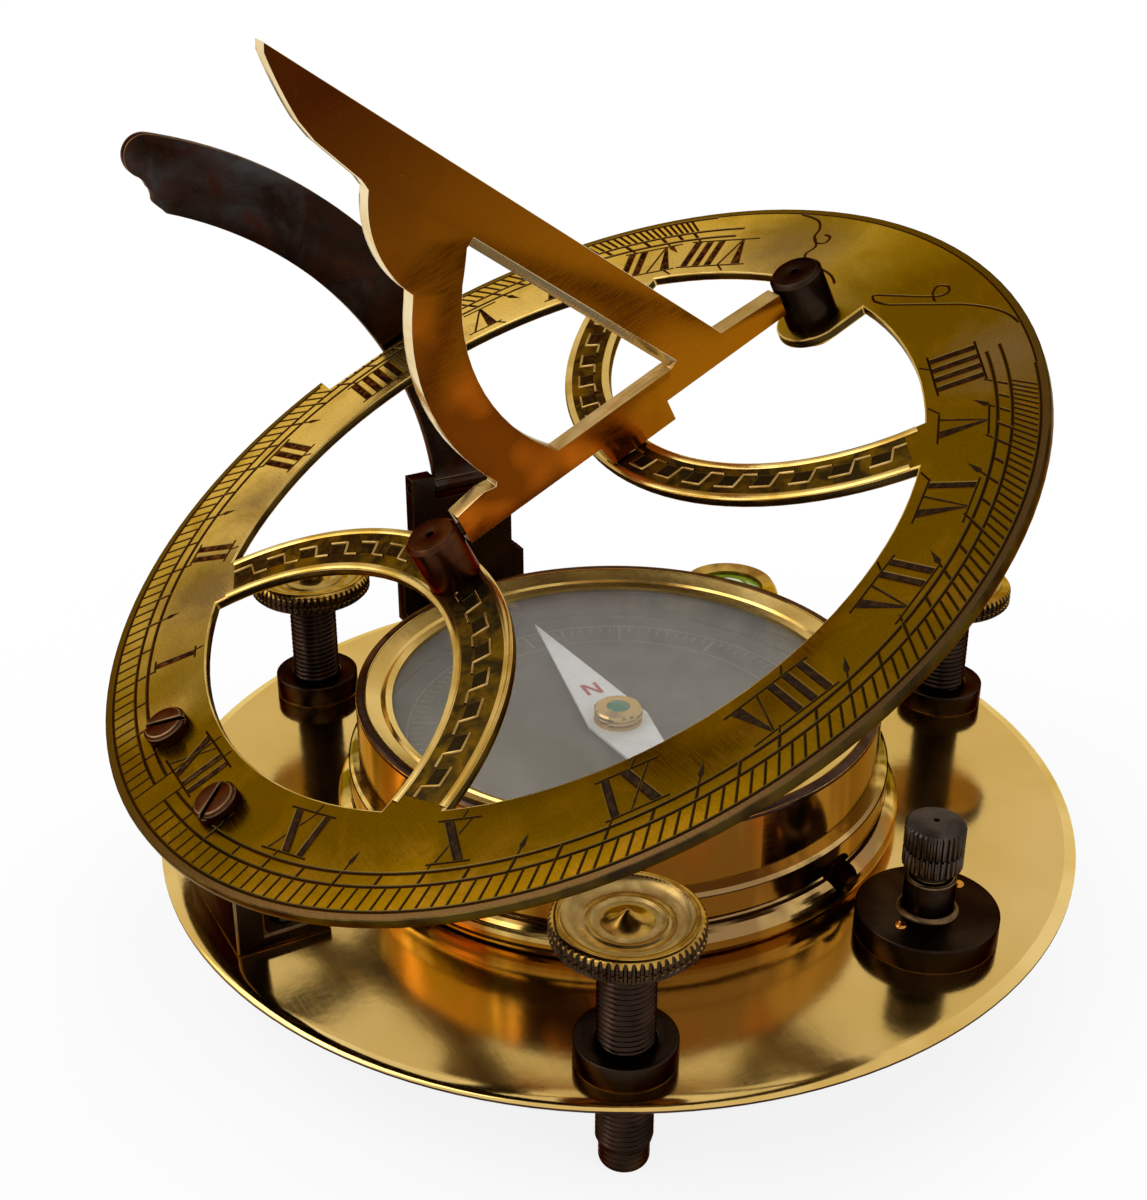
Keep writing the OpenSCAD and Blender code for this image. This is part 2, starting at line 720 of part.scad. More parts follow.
module dial_outline() {
    hole_r = dial_hole_d / 2;
    difference() {
        union() {
            difference() {
                circle(d = dial_d);
                circle(r = hole_r);
            }
            intersection() {
                circle(r = hole_r + 1);
                union() {
                    translate([0, -arch_s_centre]) difference() {
                        circle(r = arch_s_outer);
                        circle(r = arch_s_inner);
                    }
                    difference() {
                        translate([0, arch_n_outer_centre]) circle(r = arch_n_outer);
                        translate([0, arch_n_inner_centre]) circle(r = arch_n_inner);
                    }
                    translate([0, post_n]) circle(r = lug_r);
                    translate([-lug_r, post_n]) square([2 * lug_r, hole_r + 1 - post_n]);
                }
            }
        }
        translate([-dial_d, notch_from]) square([dial_d + notch_x, notch_to - notch_from]);
    }
}

module dial_ring() {
    color(pale_brass) on_dial() difference() {
        translate([0, 0, -dial_t]) linear_extrude(dial_t) dial_outline();
        for (side = sides)
            translate([side * knuckle_mid, -dial_reach, -dial_t - 1])
                cylinder(d = hinge_shank_d + 2 * fixed_fit, h = dial_t + 2);
        for (y = [-post_s, post_n])
            translate([0, y, -dial_t - 1]) cylinder(d = post_spigot_d + 2 * fixed_fit, h = dial_t + 2);
    }
}

// A post stands at y and takes the gnomon's pin from the side that faces the dial's middle
module gnomon_post(y, facing, spigot) {
    edge = 0.5;
    dot_r = 0.6;
    r = post_d / 2;
    on_dial() translate([0, y, 0]) difference() {
        union() {
            rotate_extrude() polygon([
                [0, 0], [r, 0], [r, post_h - edge], [r - edge, post_h], [0, post_h]
            ]);
            translate([0, 0, -spigot]) cylinder(d = post_spigot_d, h = spigot + 0.5);
        }
        translate([0, facing * (r - pin_depth), gnomon_pivot_h]) rotate([-90 * facing, 0, 0])
            cylinder(d = gnomon_pin_d + 2 * running_fit, h = r);
        translate([0, 0, post_h - 0.6]) cylinder(r = dot_r, h = 1);
    }
}

module post_nut() {
    color(dark_bronze) on_dial() translate([0, post_n, -dial_t - nut_t]) difference() {
        cylinder(d = nut_d, h = nut_t);
        translate([0, 0, -1]) cylinder(d = post_spigot_d + 2 * fixed_fit, h = nut_t + 2);
    }
}

// A point on the shadow edge at height h, moved in from it by inset
function style_point(h, inset = 0) =
    [style_foot - (h - bar_top) / tan(style_angle) - inset / sin(style_angle), h];

// A point on the back of the spike, at a share of its height and a width from the shadow edge
function spike_back(share, width) =
    style_point(spike_step_h + share * spike_h) - [width * gnomon_unit, 0];

// The gnomon's outline from the foot of the shadow edge: bar, tab, two lobes, spike
function gnomon_outline() =
    let (g = gnomon_unit)
    concat(
        [
            style_point(bar_top), [bar_to, bar_top - 0.7 * g], [bar_to, bar_bottom],
            [tab_from + tab_l, bar_bottom], [tab_from + tab_l, tab_lift],
            [tab_from, tab_lift], [tab_from - 0.9 * g, bar_bottom],
            [bar_from, bar_bottom], [bar_from, bar_top + 1.15 * g],
            [-9.1 * g, bar_top + 2.15 * g], [-6.6 * g, bar_top + 1.6 * g]
        ],
        arc_through(
            [-6.1 * g, bar_top + 2.3 * g],
            [-10.2 * g, bar_top + 0.54 * lobe_h],
            [-3.85 * g, bar_top + 0.972 * lobe_h]
        ),
        arc_through(
            [-3.15 * g, lobe_step_h],
            [-4.9 * g, lobe_step_h + 0.48 * collar_h],
            [-1.3 * g, lobe_step_h + 0.95 * collar_h]
        ),
        [[-1.4 * g, spike_step_h], spike_back(0.04, 11.4), spike_back(0.38, 9.8)],
        arc_through(spike_back(0.526, 8.36), spike_back(0.68, 6.1), spike_back(0.948, 1.57), 6),
        [style_point(gnomon_h)]
    );

// The window: its long side follows the shadow edge, its back bows out behind the lobes
function gnomon_window() =
    let (
        g = gnomon_unit,
        head = style_point(window_head, rib_w),
        bow = [4.7 * g, bar_top + 0.892 * lobe_h]
    )
    concat(
        [head, style_point(window_sill, rib_w)],
        arc_through([6.56 * g, window_sill], [-0.36 * g, bar_top + 0.486 * lobe_h], bow),
        arc_through(bow + g * [0.36, 0.64], bow + g * [2.6, 3.7], head - g * [0.43, 0.14], 6)
    );

// Cuts the filed bevel along the window's long side, on the face that is on the given side
module window_bevel(side) {
    bevel_w = 1.1;
    bevel_d = 0.4 * gnomon_t;
    slope = bevel_w / bevel_d;
    face = gnomon_t / 2;
    foot = style_point(window_sill, rib_w);
    length = (window_head - window_sill) / sin(style_angle);
    translate([0, foot[0], foot[1]]) rotate([90 - style_angle, 0, 0]) linear_extrude(length) polygon([
        [side * (face - bevel_d - 0.2 / slope), -0.2], [side * (face + 1), -0.2],
        [side * (face + 1), bevel_w + slope]
    ]);
}

module gnomon_plate() {
    color(brass) on_dial() difference() {
        across(gnomon_t) difference() {
            polygon(gnomon_outline());
            polygon(gnomon_window());
        }
        for (side = sides) window_bevel(side);
        for (end = [[bar_from, -1], [bar_to, 1]])
            translate([0, end[0] - end[1] * pin_depth, gnomon_pivot_h]) rotate([-90 * end[1], 0, 0])
                cylinder(d = gnomon_pin_d + 2 * fixed_fit, h = pin_depth + 1);
    }
}

// A pivot pin sits in the bar's end and reaches out into the post beside it
module gnomon_pin(end_y, outward) {
    length = 2 * pin_depth + face_gap - 0.3;
    color(dark_bronze) on_dial() translate([0, end_y - outward * (pin_depth - 0.1), gnomon_pivot_h])
        rotate([-90 * outward, 0, 0]) cylinder(d = gnomon_pin_d, h = length);
}

module arc_bracket() {
    block_from = ear_from - block_step;
    block_to = ear_to + block_step;
    top = arc_pivot_z + ear_rise;
    slot_floor = arc_pivot_z - bracket_t / 2 - 2 * face_gap;
    corner = 3;
    color(dark_bronze) on_plate() translate([arc_x, 0, 0]) difference() {
        union() {
            across(bracket_t) difference() {
                union() {
                    translate([ear_from, 0]) square([ear_to - ear_from, top]);
                    translate([block_from, 0]) square([block_to - block_from, bracket_block_h]);
                    translate([ear_from - corner + block_step, bracket_block_h - 0.1])
                        square([ear_to - ear_from + 2 * (corner - block_step), 0.1]);
                }
                for (end = [[block_from, 1], [block_to, -1]])
                    translate([end[0], bracket_block_h]) circle(r = 1.5);
                translate([root_from - face_gap, slot_floor])
                    square([root_to - root_from + 2 * face_gap, top]);
            }
            translate([bracket_t / 2 - 0.1, block_from, 0])
                cube([bracket_flange_l, block_to - block_from, flange_t]);
        }
        translate([0, block_from, arc_pivot_z]) rotate([-90, 0, 0])
            cylinder(d = arc_pin_d + 2 * fixed_fit, h = block_to - block_from);
    }
}

module arc_pin() {
    color(dark_bronze) on_plate() translate([arc_x, ear_from + 0.2, arc_pivot_z]) rotate([-90, 0, 0])
        cylinder(d = arc_pin_d, h = ear_to - ear_from - 0.4);
}

module latitude_arc() {
    reach = 2 * arc_outer_r;
    nose_at = arc_end + 2.5;
    nose = polar(arc_outer_r - arc_tip_r, nose_at);
    color(dark_bronze) at_hinge() translate([arc_x, 0, 0]) difference() {
        union() {
            across(arc_t) union() {
                intersection() {
                    difference() {
                        circle(r = arc_outer_r, $fn = 180);
                        circle(r = arc_inner_r, $fn = 180);
                    }
                    polygon([
                        [0, pivot_over_hinge], [reach, pivot_over_hinge],
                        polar(reach, arc_end / 2 + 10), polar(reach, arc_end - 1.5), [0, 0.1]
                    ]);
                }
                translate(nose) circle(r = arc_tip_r);
                polygon(concat(
                    [for (a = [arc_end - 2 : 0.75 : nose_at]) polar(arc_outer_r, a)],
                    [
                        nose,
                        polar(arc_outer_r - 1.77 * arc_tip_r, nose_at + 1.35),
                        polar(arc_inner_r + 0.36 * arc_w, arc_end + 2.1),
                        polar(arc_inner_r + 0.29 * arc_w, arc_end + 1.55)
                    ],
                    arc_through(
                        polar(arc_inner_r + 0.27 * arc_w, arc_end + 1.25),
                        polar(arc_inner_r + 0.205 * arc_w, arc_end + 0.85),
                        polar(arc_inner_r + 0.13 * arc_w, arc_end + 0.6), 4
                    ),
                    arc_through(
                        polar(arc_inner_r + 0.1 * arc_w, arc_end + 0.35),
                        polar(arc_inner_r + 0.06 * arc_w, arc_end - 0.4),
                        polar(arc_inner_r + 0.005 * arc_w, arc_end - 2), 4
                    )
                ));
            }
            translate([0, root_from + hinge_reach, pivot_over_hinge]) rotate([-90, 0, 0])
                cylinder(d = bracket_t, h = root_to - root_from);
        }
        translate([0, root_from + hinge_reach - 1, pivot_over_hinge]) rotate([-90, 0, 0])
            cylinder(d = arc_pin_d + 2 * running_fit, h = root_to - root_from + 2);
    }
}

base_plate();
for (i = screws) {
    levelling_bush(i);
    levelling_rod(i);
    levelling_head(i);
}
case_foot();
case_wall();
case_bezel();
case_glass();
case_lock_screw();
compass_card();
needle_pivot();
needle_blade();
needle_cap();
needle_jewel();
level_case();
level_lens();
lock_foot();
lock_stem();
lock_knob();
hinge_block();
hinge_pin();
hinge_knuckle(-1);  // hinge_knuckle_1
hinge_knuckle(1);  // hinge_knuckle_2
hinge_screw(-1);  // hinge_screw_1
hinge_screw(1);  // hinge_screw_2
dial_ring();
color(copper) gnomon_post(-post_s, 1, dial_t);  // gnomon_post_south
color(dark_bronze) gnomon_post(post_n, -1, dial_t + nut_t);  // gnomon_post_north
post_nut();
gnomon_plate();
gnomon_pin(bar_from, -1);  // gnomon_pin_south
gnomon_pin(bar_to, 1);  // gnomon_pin_north
arc_bracket();
arc_pin();
latitude_arc();
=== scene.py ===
"""Looks of the tilting compass sundial: finishes, engraving, threads, camera and light."""
import bmesh
import bpy
import math
from mathutils import Matrix, Vector

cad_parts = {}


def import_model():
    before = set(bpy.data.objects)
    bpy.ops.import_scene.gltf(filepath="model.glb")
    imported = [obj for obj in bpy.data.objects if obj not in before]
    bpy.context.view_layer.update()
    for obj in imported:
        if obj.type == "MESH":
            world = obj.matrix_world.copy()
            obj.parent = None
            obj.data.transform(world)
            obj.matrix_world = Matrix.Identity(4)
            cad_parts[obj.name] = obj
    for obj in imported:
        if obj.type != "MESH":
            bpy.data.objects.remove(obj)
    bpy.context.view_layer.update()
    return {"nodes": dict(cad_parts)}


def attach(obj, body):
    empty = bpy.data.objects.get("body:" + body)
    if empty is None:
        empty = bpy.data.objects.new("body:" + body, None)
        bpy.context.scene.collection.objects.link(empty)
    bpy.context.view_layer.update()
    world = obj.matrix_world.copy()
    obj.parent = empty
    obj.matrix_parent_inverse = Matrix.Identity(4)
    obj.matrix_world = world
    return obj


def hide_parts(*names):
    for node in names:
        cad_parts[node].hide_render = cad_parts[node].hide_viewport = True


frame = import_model()

# Shapes are given in millimetres in the axes of the part that carries them.
MM = 0.001
TILT = math.radians(26.14)
PLATE = Matrix.Translation((0, -1.6, 15.5))
HINGE = Matrix.Translation((0, -59.3, 33.3))
DIAL = HINGE @ Matrix.Rotation(TILT, 4, "X") @ Matrix.Translation((0, 54.7, 5.3))
LOCK = PLATE @ Matrix.Translation((45.7, 19.1, 0))
LEVEL = PLATE @ Matrix.Translation((-33.1, 39.5, 0))
NEEDLE = PLATE @ Matrix.Rotation(math.radians(175), 4, "Z")
SCREWS = [Matrix.Rotation(math.radians(-30 + 120 * i), 4, "Z") @ Matrix.Translation((55.8, 0, 0))
          for i in range(3)]


# Finishes

def rgba(colour):
    """A colour as a socket takes it: a link stays a link, and a triple gets its fourth value."""
    return colour if isinstance(colour, bpy.types.NodeSocket) else (*colour, 1)


class Finish:
    """A procedural material. Coordinates are millimetres, in the axes given."""

    def __init__(self, name, axes=None):
        self.material = bpy.data.materials.new(name)
        self.material.use_nodes = True
        self.tree = self.material.node_tree
        self.tree.nodes.clear()
        self.out = self.tree.nodes.new("ShaderNodeOutputMaterial")
        self.shader = self.tree.nodes.new("ShaderNodeBsdfPrincipled")
        self.tree.links.new(self.shader.outputs[0], self.out.inputs[0])
        coords = self.tree.nodes.new("ShaderNodeTexCoord")
        place = self.tree.nodes.new("ShaderNodeMapping")
        place.vector_type = "TEXTURE"
        place.inputs["Scale"].default_value = (MM, MM, MM)
        if axes is not None:
            place.inputs["Location"].default_value = axes.translation * MM
            place.inputs["Rotation"].default_value = axes.to_euler()
        self.tree.links.new(coords.outputs["Object"], place.inputs["Vector"])
        self.coords = place.outputs[0]

    def put(self, socket, value):
        if isinstance(value, bpy.types.NodeSocket):
            self.tree.links.new(value, socket)
        else:
            socket.default_value = value

    def node(self, kind, values=(), **settings):
        made = self.tree.nodes.new(kind)
        for key, value in settings.items():
            setattr(made, key, value)
        for key, value in dict(values).items():
            self.put(made.inputs[key], value)
        return made

    def noise(self, scale, detail=4, rough=0.55, stretch=None, warp=0.0):
        at = self.coords
        if stretch:
            at = self.node("ShaderNodeMapping", {"Vector": at, "Scale": stretch}).outputs[0]
        return self.node("ShaderNodeTexNoise", {
            "Vector": at, "Scale": scale, "Detail": detail, "Roughness": rough, "Distortion": warp,
        }).outputs["Fac"]

    def map(self, value, low, high, to_low=0.0, to_high=1.0):
        return self.node("ShaderNodeMapRange", {
            "Value": value, "From Min": low, "From Max": high, "To Min": to_low, "To Max": to_high,
        }).outputs[0]

    def math(self, operation, a, b=0.0):
        return self.node("ShaderNodeMath", {0: a, 1: b}, operation=operation).outputs[0]

    def mix(self, share, a, b):
        made = self.node("ShaderNodeMix", {}, data_type="RGBA")
        self.put(made.inputs[0], share)
        self.put(made.inputs[6], rgba(a))
        self.put(made.inputs[7], rgba(b))
        return made.outputs[2]

    def attribute(self, name):
        return self.node("ShaderNodeAttribute", {}, attribute_name=name).outputs["Fac"]

    def split(self):
        return self.node("ShaderNodeSeparateXYZ", {0: self.coords}).outputs

    def radius(self):
        x, y, _ = self.split()
        return self.math("SQRT", self.math("ADD", self.math("MULTIPLY", x, x), self.math("MULTIPLY", y, y)))

    def bump(self, height, depth, strength=1.0, onto=None):
        made = self.node("ShaderNodeBump", {"Height": height, "Distance": depth * MM, "Strength": strength})
        if onto is not None:
            self.put(made.inputs["Normal"], onto)
        return made.outputs[0]

    def finish(self, colour, metallic, roughness, normal=None, **plain):
        self.put(self.shader.inputs["Base Color"], rgba(colour))
        self.put(self.shader.inputs["Metallic"], metallic)
        self.put(self.shader.inputs["Roughness"], roughness)
        if normal is not None:
            self.put(self.shader.inputs["Normal"], normal)
        for key, value in plain.items():
            self.shader.inputs[key.replace("_", " ")].default_value = value
        return self.material


def metal(name, look, axes=None):
    """Metal with a slow change between two tones, small tarnish spots, and fine scratches.

    The look gives the bright and the deep tone, the tone of the spots and that of grazing light, the range of
    roughness, the fineness of the patches, the amount of spots and the depth of the scratches.
    """
    f = Finish(name, axes)
    slow = f.map(f.noise(look["patch"], 3, 0.5, warp=0.6), 0.35, 0.65)
    tone = f.mix(slow, look["bright"], look["deep"])
    specks = f.map(f.noise(1.6, 6, 0.7), 0.62, 0.74, 0, look["spots"])
    tone = f.mix(specks, tone, look["spot"])
    lines = f.noise(1.0, 3, 0.6, stretch=(0.22, 5.0, 5.0))
    cross = f.noise(1.0, 3, 0.6, stretch=(4.0, 0.25, 4.0))
    wear = f.math("ADD", f.math("MULTIPLY", lines, 0.5), f.math("MULTIPLY", cross, 0.5))
    roughness = f.map(f.math("ADD", f.math("MULTIPLY", slow, 0.4), wear), 0.3, 1.0, *look["rough"])
    scratch = look["scratch"]
    normal = f.bump(wear, 0.02 * scratch, 0.5, f.bump(f.noise(0.35, 2), 0.06 * scratch, 0.5))
    return f.finish(tone, 1.0, roughness, normal, Specular_Tint=(*look["edge"], 1))


GOLD = metal("brass_polished", {
    "bright": (0.64, 0.43, 0.15), "deep": (0.56, 0.36, 0.10), "spot": (0.20, 0.09, 0.02),
    "edge": (0.90, 0.72, 0.40), "rough": (0.05, 0.15), "patch": 0.03, "spots": 0.25, "scratch": 0.35,
})
PALE = metal("brass_pale", {
    "bright": (0.68, 0.46, 0.15), "deep": (0.50, 0.31, 0.07), "spot": (0.30, 0.16, 0.05),
    "edge": (0.95, 0.82, 0.55), "rough": (0.10, 0.24), "patch": 0.06, "spots": 0.2, "scratch": 0.5,
})
FILED = metal("brass_filed", {
    "bright": (0.86, 0.72, 0.46), "deep": (0.74, 0.56, 0.28), "spot": (0.45, 0.28, 0.10),
    "edge": (1.0, 0.9, 0.7), "rough": (0.14, 0.28), "patch": 0.2, "spots": 0.2, "scratch": 0.5,
})
# Painted highlight: brighter brass on the plate's rolled rim.
ROLL_HIGHLIGHT = metal("brass_rolled_rim_highlight", {
    "bright": (0.76, 0.54, 0.20), "deep": (0.60, 0.38, 0.10), "spot": (0.20, 0.09, 0.02),
    "edge": (0.95, 0.85, 0.5), "rough": (0.06, 0.15), "patch": 0.05, "spots": 0.3, "scratch": 0.4,
})
KNOB = metal("bronze_knob", {
    "bright": (0.075, 0.055, 0.042), "deep": (0.032, 0.024, 0.020), "spot": (0.10, 0.06, 0.03),
    "edge": (0.6, 0.55, 0.5), "rough": (0.22, 0.38), "patch": 0.2, "spots": 0.4, "scratch": 0.8,
})
SATIN = metal("brass_satin", {
    "bright": (0.46, 0.30, 0.12), "deep": (0.28, 0.155, 0.040), "spot": (0.12, 0.06, 0.02),
    "edge": (0.9, 0.75, 0.5), "rough": (0.16, 0.32), "patch": 0.15, "spots": 0.35, "scratch": 0.9,
})
BRONZE = metal("bronze_black", {
    "bright": (0.030, 0.019, 0.012), "deep": (0.015, 0.009, 0.006), "spot": (0.09, 0.045, 0.018),
    "edge": (0.40, 0.30, 0.22), "rough": (0.20, 0.36), "patch": 0.12, "spots": 0.35, "scratch": 1.0,
})
WORN = metal("bronze_worn_edge", {
    "bright": (0.17, 0.10, 0.045), "deep": (0.06, 0.035, 0.018), "spot": (0.03, 0.02, 0.015),
    "edge": (0.6, 0.5, 0.35), "rough": (0.20, 0.36), "patch": 0.3, "spots": 0.5, "scratch": 1.0,
})
BROWN = metal("brass_brown", {
    "bright": (0.062, 0.022, 0.010), "deep": (0.030, 0.011, 0.005), "spot": (0.02, 0.01, 0.008),
    "edge": (0.55, 0.35, 0.25), "rough": (0.22, 0.36), "patch": 0.25, "spots": 0.4, "scratch": 1.0,
})
# Brown patina for the case's rims; on the plate's side it is a painted dark reflection.
PATINA_AND_PAINTED_REFLECTION = metal("bezel_rim", {
    "bright": (0.075, 0.042, 0.030), "deep": (0.030, 0.016, 0.013), "spot": (0.25, 0.15, 0.06),
    "edge": (0.6, 0.45, 0.35), "rough": (0.20, 0.34), "patch": 0.2, "spots": 0.4, "scratch": 0.8,
})
KNURL = metal("knurl_dark", {
    "bright": (0.050, 0.030, 0.020), "deep": (0.018, 0.011, 0.008), "spot": (0.20, 0.11, 0.04),
    "edge": (0.5, 0.4, 0.3), "rough": (0.22, 0.36), "patch": 0.3, "spots": 0.5, "scratch": 1.0,
})
RIM = metal("brass_head_rim", {
    "bright": (0.46, 0.27, 0.055), "deep": (0.22, 0.10, 0.016), "spot": (0.10, 0.04, 0.015),
    "edge": (0.85, 0.65, 0.35), "rough": (0.10, 0.24), "patch": 0.3, "spots": 0.4, "scratch": 0.6,
})
ORANGE = metal("brass_orange", {
    "bright": (0.60, 0.27, 0.05), "deep": (0.40, 0.15, 0.02), "spot": (0.15, 0.06, 0.02),
    "edge": (0.9, 0.7, 0.4), "rough": (0.10, 0.24), "patch": 0.1, "spots": 0.3, "scratch": 0.5,
})
DISH = metal("brass_dish", {
    "bright": (0.46, 0.31, 0.11), "deep": (0.26, 0.155, 0.045), "spot": (0.10, 0.06, 0.02),
    "edge": (0.8, 0.65, 0.35), "rough": (0.22, 0.36), "patch": 0.25, "spots": 0.3, "scratch": 0.4,
})


def drum_finish():
    """Case brass with upright bands of painted reflection, brown and orange, round it."""
    f = Finish("brass_case", PLATE)
    # Painted reflection: upright dark brown bands round the case.
    bands = f.noise(1.0, 3, 0.6, stretch=(0.075, 0.075, 0.012), warp=0.3)
    tone = f.mix(f.map(bands, 0.44, 0.56), (0.74, 0.49, 0.13), (0.16, 0.088, 0.009))
    x, _, _ = f.split()
    # Darker towards the west and the east.
    tone = f.mix(f.map(x, -20, -34, 0, 0.6), tone, (0.36, 0.23, 0.07))
    tone = f.mix(f.map(x, 22, 34, 0, 0.6), tone, (0.34, 0.20, 0.09))
    # Painted reflection: upright orange bands.
    red = f.noise(1.0, 2, 0.5, stretch=(0.06, 0.06, 0.02))
    tone = f.mix(f.map(red, 0.50, 0.60, 0, 0.75), tone, (0.42, 0.13, 0.02))
    tone = f.mix(f.map(f.noise(1.6, 6, 0.7), 0.62, 0.74, 0, 0.3), tone, (0.20, 0.08, 0.02))
    lines = f.noise(1.0, 3, 0.6, stretch=(0.3, 0.3, 6.0))
    normal = f.bump(lines, 0.012, 0.5, f.bump(f.noise(0.3, 2), 0.03, 0.5))
    return f.finish(tone, 1.0, f.map(lines, 0.3, 0.7, 0.07, 0.17), normal, Specular_Tint=(0.9, 0.75, 0.45, 1))


def blade_finish():
    """Gnomon brass: brown gold, darker to its tip, and dark red painted shade with a painted orange highlight
    on its rounded side.
    """
    f = Finish("brass_gnomon", DIAL)
    _, y, z = f.split()
    # This grows square to the style, from it to the rounded side.
    across = f.math("ADD", f.math("MULTIPLY", y, -0.879), f.math("MULTIPLY", z, -0.477))
    slow = f.math("MULTIPLY", f.noise(0.055, 3, 0.5, warp=0.8), 22.0)
    inset = f.math("ADD", across, slow)
    tone = f.mix(f.map(z, 20, 60), (0.290, 0.094, 0.002), (0.054, 0.010, 0.001))
    stain = f.math("MULTIPLY", f.map(f.noise(0.04, 2, warp=0.5), 0.42, 0.66, 0, 0.7), f.map(z, 14, 34))
    tone = f.mix(stain, tone, (0.080, 0.020, 0.001))
    # Painted shade: dark red towards the rounded side.
    tone = f.mix(f.map(inset, -8.0, 4.0, 0, 0.75), tone, (0.100, 0.014, 0.001))
    # Painted highlight: patches of orange glow on the rounded side.
    glow = f.math("MULTIPLY", f.map(inset, -5.0, 3.0, 0, 0.95), f.map(f.noise(0.10, 1, 0.4), 0.46, 0.60))
    tone = f.mix(glow, tone, (0.40, 0.095, 0.004))
    tone = f.mix(f.map(f.noise(1.6, 6, 0.7), 0.62, 0.74, 0, 0.35), tone, (0.30, 0.14, 0.02))
    lines = f.noise(1.0, 3, 0.6, stretch=(1.0, 0.4, 5.0))
    normal = f.bump(lines, 0.008, 0.5, f.bump(f.noise(0.25, 2), 0.03, 0.5))
    return f.finish(tone, 1.0, f.map(lines, 0.3, 0.7, 0.17, 0.30), normal, Specular_Tint=(0.8, 0.55, 0.3, 1))


DRUM = drum_finish()
BLADE = blade_finish()


def arc_finish():
    """Dark bronze with grey and red stains of heat."""
    f = Finish("bronze_heat_stained")
    grey = f.map(f.noise(0.06, 4, 0.6, warp=0.8), 0.48, 0.68)
    red = f.map(f.noise(0.10, 5, 0.65, warp=0.8), 0.46, 0.66, 0, 0.9)
    tone = f.mix(grey, (0.022, 0.012, 0.008), (0.050, 0.048, 0.046))
    tone = f.mix(red, tone, (0.048, 0.012, 0.004))
    tone = f.mix(f.map(f.noise(0.9, 6, 0.75), 0.58, 0.72, 0, 0.5), tone, (0.07, 0.035, 0.02))
    normal = f.bump(f.noise(2.0, 5), 0.02, 0.6)
    return f.finish(tone, 1.0, f.map(f.noise(0.5, 5), 0.3, 0.7, 0.20, 0.38), normal,
                    Specular_Tint=(0.5, 0.4, 0.35, 1))


# Tarnished patches of the dial: centre, radius and amount.
TARNISH = (
    ((-34, -40), 15, 0.9), ((-45, -26), 12, 0.8), ((30, 52), 15, 0.8),
    ((-18, 56), 16, 0.8), ((-25, -48), 9, 0.5),
)
DIAL_EDGE = 63.25


def dial_finish():
    """Satin brass with a painted reflection that makes it paler to the west and dark olive to the east, with
    tarnish and brush marks.
    """
    f = Finish("brass_dial", DIAL)
    x, y, _ = f.split()
    # Painted reflection: the tone runs from pale brass in the west to dark olive in the east.
    side = f.math("SUBTRACT", x, f.math("MULTIPLY", y, 0.15))
    side = f.math("ADD", side, f.math("MULTIPLY", f.noise(0.05, 3, warp=1.0), 30.0))
    tone = f.mix(f.map(side, -38, 16), (0.66, 0.42, 0.10), (0.116, 0.056, 0.0005))
    tone = f.mix(f.map(f.noise(0.12, 4, 0.6, warp=0.8), 0.50, 0.72, 0, 0.5), tone, (0.22, 0.095, 0.008))
    for centre, size, amount in TARNISH:
        middle = f.node("ShaderNodeVectorMath", {0: f.coords, 1: (*centre, 0)}, operation="DISTANCE")
        away = f.math("ADD", middle.outputs["Value"], f.math("MULTIPLY", f.noise(0.25, 5, 0.7), 9.0))
        tone = f.mix(f.map(away, size, size - 8, 0, amount), tone, (0.160, 0.092, 0.036))
    tone = f.mix(f.map(f.radius(), DIAL_EDGE - 0.1, DIAL_EDGE + 0.1), tone, (0.070, 0.036, 0.012))
    brush = f.noise(1.0, 4, 0.6, stretch=(0.25, 4.0, 1.0))
    specks = f.map(f.noise(1.4, 6, 0.75), 0.62, 0.72, 0, 0.5)
    tone = f.mix(specks, tone, (0.10, 0.05, 0.015))
    fine = f.map(f.noise(3.0, 4, 0.7), 0.3, 0.7, 0.82, 1.15)
    tone = f.node("ShaderNodeVectorMath", {0: tone, 3: fine}, operation="SCALE").outputs[0]
    normal = f.bump(brush, 0.004, 0.5, f.bump(f.noise(0.2, 3), 0.10, 0.4))
    return f.finish(tone, 1.0, f.map(brush, 0.3, 0.7, 0.20, 0.34), normal, Specular_Tint=(0.8, 0.6, 0.3, 1))


def engraved_finish(name, floor, wall, edge, depth):
    """A groove: a painted highlight along its border, black inside to the east, copper patches to the west.

    The attribute 'deep' runs from border to floor.
    """
    f = Finish(name, DIAL)
    deep = f.attribute("deep")
    x, _, _ = f.split()
    patches = f.math("MULTIPLY", f.map(f.noise(0.9, 5, 0.65), 0.46, 0.60), f.map(x, 14, -22, 0.25, 1))
    # The border's tone is a painted highlight.
    tone = f.mix(f.map(deep, 0.12, 0.7), edge, f.mix(patches, floor, wall))
    normal = f.bump(f.math("MULTIPLY", deep, -1.0), depth, 0.9, f.bump(f.noise(2.5, 4), 0.05, 0.5))
    return f.finish(tone, 1.0, f.map(deep, 0, 1, 0.24, 0.42), normal, Specular_Tint=(0.5, 0.32, 0.12, 1))


DIAL_BRASS = dial_finish()
# Each edge tone is a painted highlight along the groove's border.
CUT = engraved_finish("engraved_numeral", floor=(0.016, 0.011, 0.008), wall=(0.100, 0.042, 0.012),
                      edge=(0.26, 0.15, 0.03), depth=0.45)
HAIR = engraved_finish("engraved_line", floor=(0.018, 0.013, 0.006), wall=(0.040, 0.026, 0.008),
                       edge=(0.11, 0.065, 0.012), depth=0.2)


def channel_finish():
    """The sunk band of the arches, dark with patches of brass."""
    f = Finish("key_channel", DIAL)
    patches = f.map(f.noise(0.22, 5, 0.6, warp=0.8), 0.42, 0.62)
    tone = f.mix(patches, (0.026, 0.018, 0.008), (0.120, 0.062, 0.006))
    normal = f.bump(f.noise(1.8, 5), 0.06, 0.7)
    return f.finish(tone, 1.0, f.map(f.noise(0.8, 4), 0.3, 0.7, 0.28, 0.45), normal,
                    Specular_Tint=(0.6, 0.4, 0.15, 1))


